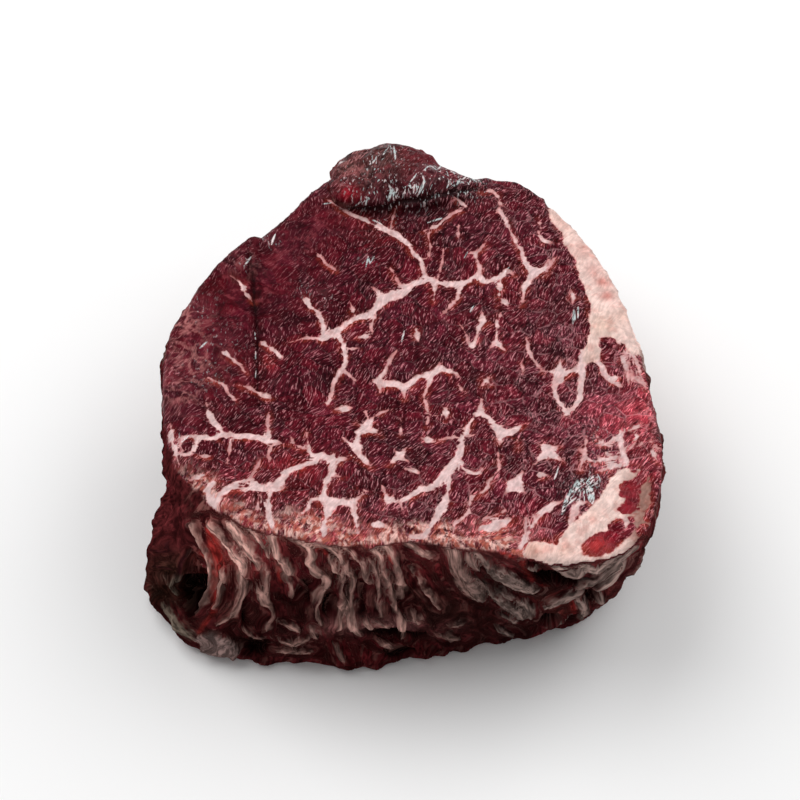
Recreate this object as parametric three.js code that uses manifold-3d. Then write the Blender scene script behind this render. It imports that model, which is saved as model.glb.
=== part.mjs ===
// Thick raw tenderloin steak, lying on its back face with the marbled cut face up.
// Units are millimetres, +Z is up and +Y points to the back of the steak.
// The body is a grid: an uneven outline, a wall that is drawn in and spread out by direction,
// and a gently uneven cut face. A raised lobe is joined on at the back, and a fold line and a
// knife slit are cut into the top.
import * as THREE from 'three';
import Module from 'manifold-3d';

// Driving dimensions
const THICKNESS = 38;
const LOBE_RISE = 3.2;
const SHOULDER_DROP = 2.6;
const SLIT_WIDTH = 1.1;
const SLIT_DEPTH = 3.4;
const FOLD_WIDTH = 0.9;
const FOLD_DEPTH = 2.6;
const FRONT_STEP = 1.05;
const ROUND_STEP = 2.3;
const FRONT_SPAN = { left: -37, right: 20, behind: -26 };

// Outline of the cut face, anticlockwise from the right, as points of a closed smooth curve
const OUTLINE = [
  [43.4, -20], [42.6, -11.3], [41.5, -3], [40.1, 4.2], [38.5, 10.4], [36.3, 17.2], [33.7, 22.3],
  [30, 28.4], [26, 33.4], [20.9, 38.2], [15.2, 39], [9.8, 39.8], [4, 43], [-1.8, 44.1],
  [-7.6, 43.4], [-12.9, 40.1], [-16.6, 36.1], [-19.4, 32.7], [-22.2, 29.3], [-26.3, 24.9],
  [-31.3, 19.5], [-35.9, 13.2], [-39, 7], [-41, 1.5], [-41.3, -8], [-40.7, -17], [-37.8, -26],
  [-32.8, -32], [-26, -36.4], [-16, -39], [-6, -40.2], [2, -39.4], [13, -41], [25, -43.6],
  [34, -42.2], [39.6, -37.4], [42.4, -30],
];

// How far the wall stands outside the outline, by direction from the middle of the cut face:
// 0 degrees is +X, 90 is the back, 180 the left and 270 the front.
const WALL_STATIONS = [
  { angle: 0, belly: 0.8, foot: -1.5 },
  { angle: 45, belly: 1.2, foot: -2 },
  { angle: 90, belly: 0.8, foot: -3 },
  { angle: 120, belly: 0.8, foot: -2 },
  { angle: 150, belly: 1, foot: -1 },
  { angle: 180, belly: 0.8, foot: 0.6 },
  { angle: 196, belly: 0.6, foot: 1.4 },
  { angle: 204, belly: 1.4, foot: 4 },
  { angle: 212, belly: 2.8, foot: 6.2 },
  { angle: 224, belly: 2.4, foot: 7.2 },
  { angle: 236, belly: 0.8, foot: 5.7 },
  { angle: 248, belly: -0.8, foot: 3.7 },
  { angle: 265, belly: -1.2, foot: 3 },
  { angle: 276, belly: -1.8, foot: 1.8 },
  { angle: 283, belly: -2.4, foot: -0.2 },
  { angle: 291, belly: -3.6, foot: -3.3 },
  { angle: 299, belly: -4.4, foot: -7.2 },
  { angle: 307, belly: -4.4, foot: -9.4 },
  { angle: 319, belly: -2.9, foot: -7.6 },
  { angle: 331, belly: -0.6, foot: -3.4 },
  { angle: 345, belly: 1, foot: -1.5 },
];

// Heights of the wall's rows, from just under the rolled rim down to the base
const WALL_HEIGHTS = [
  35.6, 33.6, 31.4, 29, 26.4, 23.8, 21.2, 18.6, 16, 13.4, 11, 8.8, 6.8, 4.8, 3, 1.4, 0,
];

// Local swellings and hollows of the wall: the direction and height of the middle, the reach
// along the wall and up it, and how far it stands out
const WALL_LUMPS = [
  { name: 'left bulge', angle: 211, height: 10, along: 7, up: 8, out: 2.4 },
  { name: 'left waist', angle: 206, height: 21, along: 8, up: 6, out: -2.2 },
  { name: 'left hollow', angle: 221, height: 12.5, along: 3.2, up: 5.5, out: -5.6 },
  { name: 'flap below the hollow', angle: 223, height: 4, along: 9, up: 2.6, out: 1.4 },
  { name: 'pocket under the front rim', angle: 303, height: 31, along: 7, up: 3.2, out: -4.4 },
  { name: 'sheet below the pocket', angle: 298, height: 23, along: 10, up: 3, out: 2.2 },
  { name: 'second sheet', angle: 302, height: 12, along: 10, up: 2.6, out: 1.6 },
  { name: 'right corner sheet', angle: 318, height: 25, along: 8, up: 3, out: 1.6 },
  { name: 'right side swelling', angle: 341, height: 16, along: 9, up: 6, out: 1.8 },
  { name: 'right side nick', angle: 333, height: 27, along: 3.5, up: 4, out: -1.4 },
  { name: 'broad silverskin patch', angle: 285, height: 22, along: 5, up: 9, out: 1 },
  { name: 'back swelling', angle: 70, height: 17, along: 14, up: 9, out: 1.4 },
  { name: 'back hollow', angle: 118, height: 20, along: 6, up: 10, out: -1.8 },
];

// Slanting pleats of the front wall, and the wider folds of the rest of it
const PLEAT_PITCH = 4.2;
const PLEAT_DEPTH = 0.85;
const PLEAT_SLANT = 0.3;
const PLEAT_DRIFT = 0.8;
const PLEAT_DRIFT_RATE = 0.37;
const PLEAT_FROM = 226;
const PLEAT_TO = 290;
const FOLD_WAVES = [
  { pitch: 11.3, slant: 0.2, depth: 0.45 },
  { pitch: 6.1, slant: -0.35, depth: 0.28 },
];
const LEDGE_HEIGHT = 7;
const LEDGE_DEPTH = 1.1;

// The rim rolls over between the wall and the cut face: how far inside the outline each of its
// rows lies, and how far below the face
const RIM_ROWS = [
  { inset: 0.1, below: 1.2 }, { inset: 0.7, below: 0.4 }, { inset: 2.4, below: 0 },
];

// Low waves of the cut face
const FACE_WAVES = [
  { pitch: 23, heading: 0.5, depth: 0.35 },
  { pitch: 15, heading: 2.1, depth: 0.25 },
];

// Rings of the cut face and of the base, as shares of the way out from the middle
const FACE_RINGS = [
  { share: 0.9, step: 2.6 }, { share: 0.8, step: 2.8 }, { share: 0.7, step: 3 },
  { share: 0.58, step: 3.2 }, { share: 0.46, step: 3.4 }, { share: 0.33, step: 3.4 },
  { share: 0.2, step: 3.4 }, { share: 0.09, step: 3.6 },
];
const BASE_RINGS = [{ share: 0.63, step: 6 }, { share: 0.32, step: 8 }];

// The knife slit and the fold in front of the lobe, left to right along the cut face
const SLIT_LINE = [
  [-27, 18.6], [-26.4, 14], [-25.9, 8], [-25.3, 3], [-25.1, -3], [-24.9, -8.5],
];
const FOLD_LINE = [
  [-10.6, 29.4], [-5, 29.4], [0, 30.5], [5.5, 31.7], [12, 33], [17, 34.8],
];

// How a wedge cut narrows to its ends: the share of its full size there, and how fast it fills
const WEDGE_SECTIONS = 24;
const WEDGE_END = 0.04;
const WEDGE_FILL = 0.6;

// The lobe: its outline, how its side rounds over to its top, and where it sinks into the face
const LOBE_OUTLINE = [
  [-13.2, 38.6], [-12.5, 32.4], [-7.6, 30.2], [-1, 30.8], [5.5, 31.9], [11.5, 33], [16, 34.6],
  [17.6, 36.6], [14.6, 38.2], [9, 39.3], [3.7, 42.5], [-1.8, 43.8], [-7.6, 42.9],
];
const LOBE_MIDDLE = [-2, 36.6];
const LOBE_COLUMNS = 44;
const LOBE_SINK = 14;
const LOBE_ROOT_SHARE = 0.85;
const LOBE_FADE_DROP = LOBE_RISE + 1;
const LOBE_FADE_FROM = -4;
const LOBE_FADE_TO = 19;
const LOBE_PROFILE = [
  { share: 0.98, rise: -0.9 }, { share: 1, rise: -0.2 }, { share: 0.95, rise: 0.18 },
  { share: 0.85, rise: 0.46 }, { share: 0.65, rise: 0.75 }, { share: 0.35, rise: 0.95 },
];

const DEGREE = Math.PI / 180;

const flatCurve = (points, closed) => new THREE.CatmullRomCurve3(
  points.map(([x, y]) => new THREE.Vector3(x, y, 0)), closed, 'centripetal');

const smoothStep = (from, to, value) => THREE.MathUtils.smoothstep(value, from, to);

// Difference of two directions in degrees, between -180 and 180
const turn = (a, b) => ((a - b + 540) % 360) - 180;

// A value between the wall's stations, eased from each to the next
function betweenStations(angle, key) {
  const count = WALL_STATIONS.length;
  for (let i = 0; i < count; i += 1) {
    const here = WALL_STATIONS[i];
    const next = WALL_STATIONS[(i + 1) % count];
    const span = (next.angle - here.angle + 360) % 360;
    const part = (angle - here.angle + 360) % 360;
    if (part <= span) {
      const eased = 0.5 - 0.5 * Math.cos(Math.PI * part / span);
      return here[key] + (next[key] - here[key]) * eased;
    }
  }
  return 0;
}

// Main form of the wall at a height: none under the rim, then the belly, then the foot
function wallForm(angle, height) {
  const belly = betweenStations(angle, 'belly');
  const foot = betweenStations(angle, 'foot');
  const toBelly = smoothStep(0, 1, (36 - height) / 16);
  const toFoot = smoothStep(0, 1, (20 - height) / 17);
  const underside = 1.6 * smoothStep(0, 1, (2.2 - height) / 2.2);
  return belly * toBelly * (1 - toFoot) + foot * toFoot - underside;
}

// Swellings and hollows at a point of the wall, whose radius turns an angle into a length
function wallLumps(angle, height, radius) {
  let out = 0;
  for (const lump of WALL_LUMPS) {
    const along = turn(angle, lump.angle) * DEGREE * radius / lump.along;
    const up = (height - lump.height) / lump.up;
    out += lump.out * Math.exp(-(along * along) - up * up);
  }
  return out;
}

// Pleats, folds and the ledge near the base; length is measured along the outline
function wallRelief(angle, height, length) {
  const down = THICKNESS - height;
  const fade = smoothStep(2, 8, down) * smoothStep(0, 5, height);
  const pleated = smoothStep(PLEAT_FROM, PLEAT_FROM + 6, angle)
    * (1 - smoothStep(PLEAT_TO - 6, PLEAT_TO, angle));
  const phase = 2 * Math.PI * (length - PLEAT_SLANT * down) / PLEAT_PITCH;
  const drift = PLEAT_DRIFT * Math.sin(phase * PLEAT_DRIFT_RATE);
  const pleats = PLEAT_DEPTH * pleated * Math.sin(phase + drift);
  let folds = 0;
  for (const wave of FOLD_WAVES) {
    folds += wave.depth * Math.sin(2 * Math.PI * (length + wave.slant * down) / wave.pitch);
  }
  const ledge = LEDGE_DEPTH * pleated * smoothStep(LEDGE_HEIGHT + 2.5, LEDGE_HEIGHT, height);
  return fade * (pleats + folds) + ledge * smoothStep(0, 2.5, height);
}

// Height of the cut face: low waves, and a shoulder that falls away left of the slit
function faceHeight(x, y) {
  const beyondSlit = smoothStep(-26, -42, x);
  const alongSlit = smoothStep(-24, -8, y);
  let height = THICKNESS - SHOULDER_DROP * beyondSlit * alongSlit;
  for (const wave of FACE_WAVES) {
    const travel = x * Math.cos(wave.heading) + y * Math.sin(wave.heading);
    height += wave.depth * Math.sin(2 * Math.PI * travel / wave.pitch);
  }
  return height;
}

// Places along the outline for the wall's columns, closer together where the pleats are
function columnPlaces(curve, step) {
  const length = curve.getLength();
  const samples = Math.round(length * 8);
  const weights = [];
  let total = 0;
  for (let i = 0; i < samples; i += 1) {
    const point = curve.getPointAt((i + 0.5) / samples);
    const inFront = point.y < FRONT_SPAN.behind
      && point.x > FRONT_SPAN.left && point.x < FRONT_SPAN.right;
    total += length / samples / (inFront ? step.front : step.round);
    weights.push(total);
  }
  const count = Math.round(total);
  const places = [];
  let sample = 0;
  for (let i = 0; i < count; i += 1) {
    while (weights[sample] < total * i / count) {
      sample += 1;
    }
    places.push(sample / samples);
  }
  return places;
}

// A mesh that is put together ring by ring
class RingMesh {
  constructor() {
    this.positions = [];
    this.triangles = [];
  }

  point(x, y, z) {
    this.positions.push(x, y, z);
    return this.positions.length / 3 - 1;
  }

  // Joins two rings of {place, index}; the first one lies outside or below the second
  stitch(outer, inner) {
    let a = 0;
    let b = 0;
    const placeOf = (ring, i) => (i < ring.length ? ring[i].place : ring[i - ring.length].place + 1);
    while (a < outer.length || b < inner.length) {
      const nextA = placeOf(outer, a + 1);
      const nextB = placeOf(inner, b + 1);
      const indexA = outer[a % outer.length].index;
      const indexB = inner[b % inner.length].index;
      if (b >= inner.length || (a < outer.length && nextA <= nextB)) {
        this.triangles.push(indexA, outer[(a + 1) % outer.length].index, indexB);
        a += 1;
      } else {
        this.triangles.push(indexA, inner[(b + 1) % inner.length].index, indexB);
        b += 1;
      }
    }
  }

  // Closes a ring with a fan; upward says which way the fan faces
  fan(ring, centre, upward) {
    for (let i = 0; i < ring.length; i += 1) {
      const here = ring[i].index;
      const next = ring[(i + 1) % ring.length].index;
      this.triangles.push(...(upward ? [here, next, centre] : [next, here, centre]));
    }
  }

  solid(wasm) {
    const mesh = new wasm.Mesh({
      numProp: 3,
      vertProperties: new Float32Array(this.positions),
      triVerts: new Uint32Array(this.triangles),
    });
    return new wasm.Manifold(mesh);
  }
}

// The steak without its lobe
function steakBody(wasm) {
  const curve = flatCurve(OUTLINE, true);
  const length = curve.getLength();
  const mesh = new RingMesh();
  const places = columnPlaces(curve, { front: FRONT_STEP, round: ROUND_STEP });

  const wallRing = (height) => places.map((place) => {
    const rim = curve.getPointAt(place);
    const angle = (Math.atan2(rim.y, rim.x) / DEGREE + 360) % 360;
    const radius = Math.hypot(rim.x, rim.y);
    const out = wallForm(angle, height) + wallLumps(angle, height, radius)
      + wallRelief(angle, height, place * length);
    const reach = (radius + out) / radius;
    const drop = faceHeight(rim.x, rim.y) - THICKNESS;
    const z = height + drop * smoothStep(THICKNESS - 20, THICKNESS, height);
    return { place, index: mesh.point(rim.x * reach, rim.y * reach, z) };
  });

  const rollRing = (inset, below) => places.map((place) => {
    const rim = curve.getPointAt(place);
    const reach = 1 - inset / Math.hypot(rim.x, rim.y);
    const x = rim.x * reach;
    const y = rim.y * reach;
    return { place, index: mesh.point(x, y, faceHeight(x, y) - below) };
  });

  const innerRing = (share, step, height) => {
    const ringLength = length * share;
    const count = Math.max(8, Math.round(ringLength / step));
    return Array.from({ length: count }, (_, i) => {
      const place = i / count;
      const rim = curve.getPointAt(place);
      const x = rim.x * share;
      const y = rim.y * share;
      return { place, index: mesh.point(x, y, height(x, y)) };
    });
  };

  let upper = wallRing(WALL_HEIGHTS[WALL_HEIGHTS.length - 1]);
  const baseRing = upper;
  for (let row = WALL_HEIGHTS.length - 2; row >= 0; row -= 1) {
    const ring = wallRing(WALL_HEIGHTS[row]);
    mesh.stitch(upper, ring);
    upper = ring;
  }
  for (const { inset, below } of RIM_ROWS) {
    const ring = rollRing(inset, below);
    mesh.stitch(upper, ring);
    upper = ring;
  }
  for (const { share, step } of FACE_RINGS) {
    const ring = innerRing(share, step, faceHeight);
    mesh.stitch(upper, ring);
    upper = ring;
  }
  mesh.fan(upper, mesh.point(0, 0, faceHeight(0, 0)), true);

  let lower = baseRing;
  for (const { share, step } of BASE_RINGS) {
    const ring = innerRing(share, step, () => 0);
    mesh.stitch(ring, lower);
    lower = ring;
  }
  mesh.fan(lower, mesh.point(0, 0, 0), false);
  return mesh.solid(wasm);
}

// The raised lobe: a mound on its own outline, sunk into the body
function backLobe(wasm) {
  const curve = flatCurve(LOBE_OUTLINE, true);
  const mesh = new RingMesh();
  const [middleX, middleY] = LOBE_MIDDLE;
  const ringAt = (share, z) => Array.from({ length: LOBE_COLUMNS }, (_, i) => {
    const place = i / LOBE_COLUMNS;
    const point = curve.getPointAt(place);
    const x = middleX + (point.x - middleX) * share;
    const y = middleY + (point.y - middleY) * share;
    return { place, index: mesh.point(x, y, z(x)) };
  });
  const start = ringAt(LOBE_ROOT_SHARE, () => THICKNESS - LOBE_SINK);
  let lower = start;
  for (const { share, rise } of LOBE_PROFILE) {
    const ring = ringAt(share, (x) => THICKNESS + LOBE_RISE * rise
      - LOBE_FADE_DROP * smoothStep(LOBE_FADE_FROM, LOBE_FADE_TO, x));
    mesh.stitch(lower, ring);
    lower = ring;
  }
  mesh.fan(lower, mesh.point(middleX, middleY, THICKNESS + LOBE_RISE), true);
  mesh.fan(start, mesh.point(middleX, middleY, THICKNESS - LOBE_SINK), false);
  return mesh.solid(wasm);
}

// A wedge along a line on the cut face, as wide as stated at the face's height, wider above
// it and sharp at its bottom; it narrows towards both ends
function wedge(wasm, line, width, depth, top) {
  const curve = flatCurve(line, false);
  const mesh = new RingMesh();
  const sections = [];
  for (let i = 0; i <= WEDGE_SECTIONS; i += 1) {
    const share = i / WEDGE_SECTIONS;
    const point = curve.getPointAt(share);
    const along = curve.getTangentAt(share);
    const full = Math.sin(Math.PI * (WEDGE_END + (1 - 2 * WEDGE_END) * share)) ** WEDGE_FILL;
    const bottom = THICKNESS - depth * full;
    const half = 0.5 * width * full * (top - bottom) / (THICKNESS - bottom);
    const left = mesh.point(point.x - along.y * half, point.y + along.x * half, top);
    const right = mesh.point(point.x + along.y * half, point.y - along.x * half, top);
    const tip = mesh.point(point.x, point.y, bottom);
    sections.push([left, tip, right]);
  }
  for (let i = 0; i < WEDGE_SECTIONS; i += 1) {
    for (let side = 0; side < 3; side += 1) {
      const a = sections[i][side];
      const b = sections[i][(side + 1) % 3];
      const c = sections[i + 1][(side + 1) % 3];
      const d = sections[i + 1][side];
      mesh.triangles.push(a, c, b, a, d, c);
    }
  }
  mesh.triangles.push(...sections[0]);
  mesh.triangles.push(...[...sections[WEDGE_SECTIONS]].reverse());
  return mesh.solid(wasm);
}

// A solid as three.js geometry, moved so that its base stands centred on the origin
function centredGeometry(solid) {
  const { vertProperties, triVerts, numProp } = solid.getMesh();
  const positions = [];
  for (let i = 0; i < vertProperties.length; i += numProp) {
    positions.push(vertProperties[i], vertProperties[i + 1], vertProperties[i + 2]);
  }
  const geometry = new THREE.BufferGeometry();
  geometry.setAttribute('position', new THREE.Float32BufferAttribute(positions, 3));
  geometry.setIndex(Array.from(triVerts));
  geometry.computeBoundingBox();
  const { min, max } = geometry.boundingBox;
  geometry.translate(-(min.x + max.x) / 2, -(min.y + max.y) / 2, -min.z);
  geometry.computeVertexNormals();
  return geometry;
}

const wasm = await Module();
wasm.setup();

const lobeTop = THICKNESS + LOBE_RISE + 2;
const steak = steakBody(wasm)
  .add(backLobe(wasm))
  .subtract(wedge(wasm, SLIT_LINE, SLIT_WIDTH, SLIT_DEPTH, THICKNESS + 2))
  .subtract(wedge(wasm, FOLD_LINE, FOLD_WIDTH, FOLD_DEPTH, lobeTop));

const rawMeat = new THREE.MeshStandardMaterial({ color: 0x7a2f33, roughness: 0.42, metalness: 0 });
const tenderloin = new THREE.Mesh(centredGeometry(steak), rawMeat);
tenderloin.name = 'tenderloin_steak';

const group = new THREE.Group();
group.add(tenderloin);

export default group;
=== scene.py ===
"""Looks of a thick raw marbled tenderloin steak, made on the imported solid.

Lengths in the tables are millimetres in the solid's own frame. Marks on the cut face are placed
on the level plane of the face, and marks on the front of the wall on the upright plane there,
both as a camera at PHOTO_EYE sees them.
"""
import math

import bpy
import numpy as np
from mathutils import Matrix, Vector


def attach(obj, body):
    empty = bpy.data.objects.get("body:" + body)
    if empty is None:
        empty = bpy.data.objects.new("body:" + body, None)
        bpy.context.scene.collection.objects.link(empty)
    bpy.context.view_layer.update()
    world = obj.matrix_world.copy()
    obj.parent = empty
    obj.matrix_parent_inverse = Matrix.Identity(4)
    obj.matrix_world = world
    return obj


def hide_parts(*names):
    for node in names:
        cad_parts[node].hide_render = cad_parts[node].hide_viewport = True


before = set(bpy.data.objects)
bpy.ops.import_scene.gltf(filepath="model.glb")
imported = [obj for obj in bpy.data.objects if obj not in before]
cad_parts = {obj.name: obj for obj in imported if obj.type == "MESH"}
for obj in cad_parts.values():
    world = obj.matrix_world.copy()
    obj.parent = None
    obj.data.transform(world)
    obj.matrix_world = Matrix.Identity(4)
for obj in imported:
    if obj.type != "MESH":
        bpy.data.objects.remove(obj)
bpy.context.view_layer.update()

MM = 0.001
NODE = "tenderloin_steak"
THICKNESS = 38.0

# The viewpoint, from the photo's proportions
VIEW_ELEVATION = math.radians(56)
VIEW_DISTANCE = 480.0
VIEW_TARGET = np.array([0.0, 0.0, 20.0])
VIEW_SCALE = 5.64
IMAGE_SIDE = 800
VIEW_CENTRE = (404.5, 404.0)
PHOTO_EYE = VIEW_TARGET + VIEW_DISTANCE * np.array(
    [0.0, -math.cos(VIEW_ELEVATION), math.sin(VIEW_ELEVATION)])
# The tables count from the viewpoint's own middle, a little left of the solid's
READING_SHIFT = np.array([0.177, -0.741, 0.0])
FACE_PLANE = THICKNESS
FRONT_PLANE = -40.0

# Mesh
VOXEL = 0.46
SETTLE_PASSES = 16
SETTLE_IN = 0.55
SETTLE_OUT = -0.56
FLAT_BASE = 0.3
COLOUR_NAMES = ("meat", "pale")

# Reach of the marks, and the pointed ends of the lines
LINE_REACH = 4.0
RIM_REACH = 44.0
UNDER_RIM = 35.5
FAR = 9.0
TIP_LENGTH = 0.3
TIP_PER_WIDTH = 0.7
TIP_WIDTH = 0.02

# Where a point counts as cut face: heights it begins and is whole at, and the same of its normal's rise
TOP_LAYER = (30, 33)
LEVEL_ENOUGH = (.12, .42)

# Relief of the cut face
SWELL_HEIGHT = 0.34
SWELL_REACH = 0.9
BUNDLE_HEIGHT = 0.17
BUNDLE_SIZE = 1.15
LUMP_HEIGHT = 0.26
LUMP_SIZE = 3.4
FAT_HEIGHT = 0.3
GROOVE_DEPTH = 0.45
LOBE_MIDDLE = (-1, 38)
LOBE_REACH = (12, 5.5)
BACK_SEAMS_THINNER = 0.22

# Relief of the wall, and the lean of its marks: radians over a height
STRAND_HEIGHT = 0.95
STRAND_GROOVE = 0.55
POCKET_SHARE = 1.05
FOLD_HEIGHT = 0.55
TORN_HEIGHT = 0.5
SLANT = 0.34
SLANT_HEIGHT = 43
STREAK_STRETCH = 0.16

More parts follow.
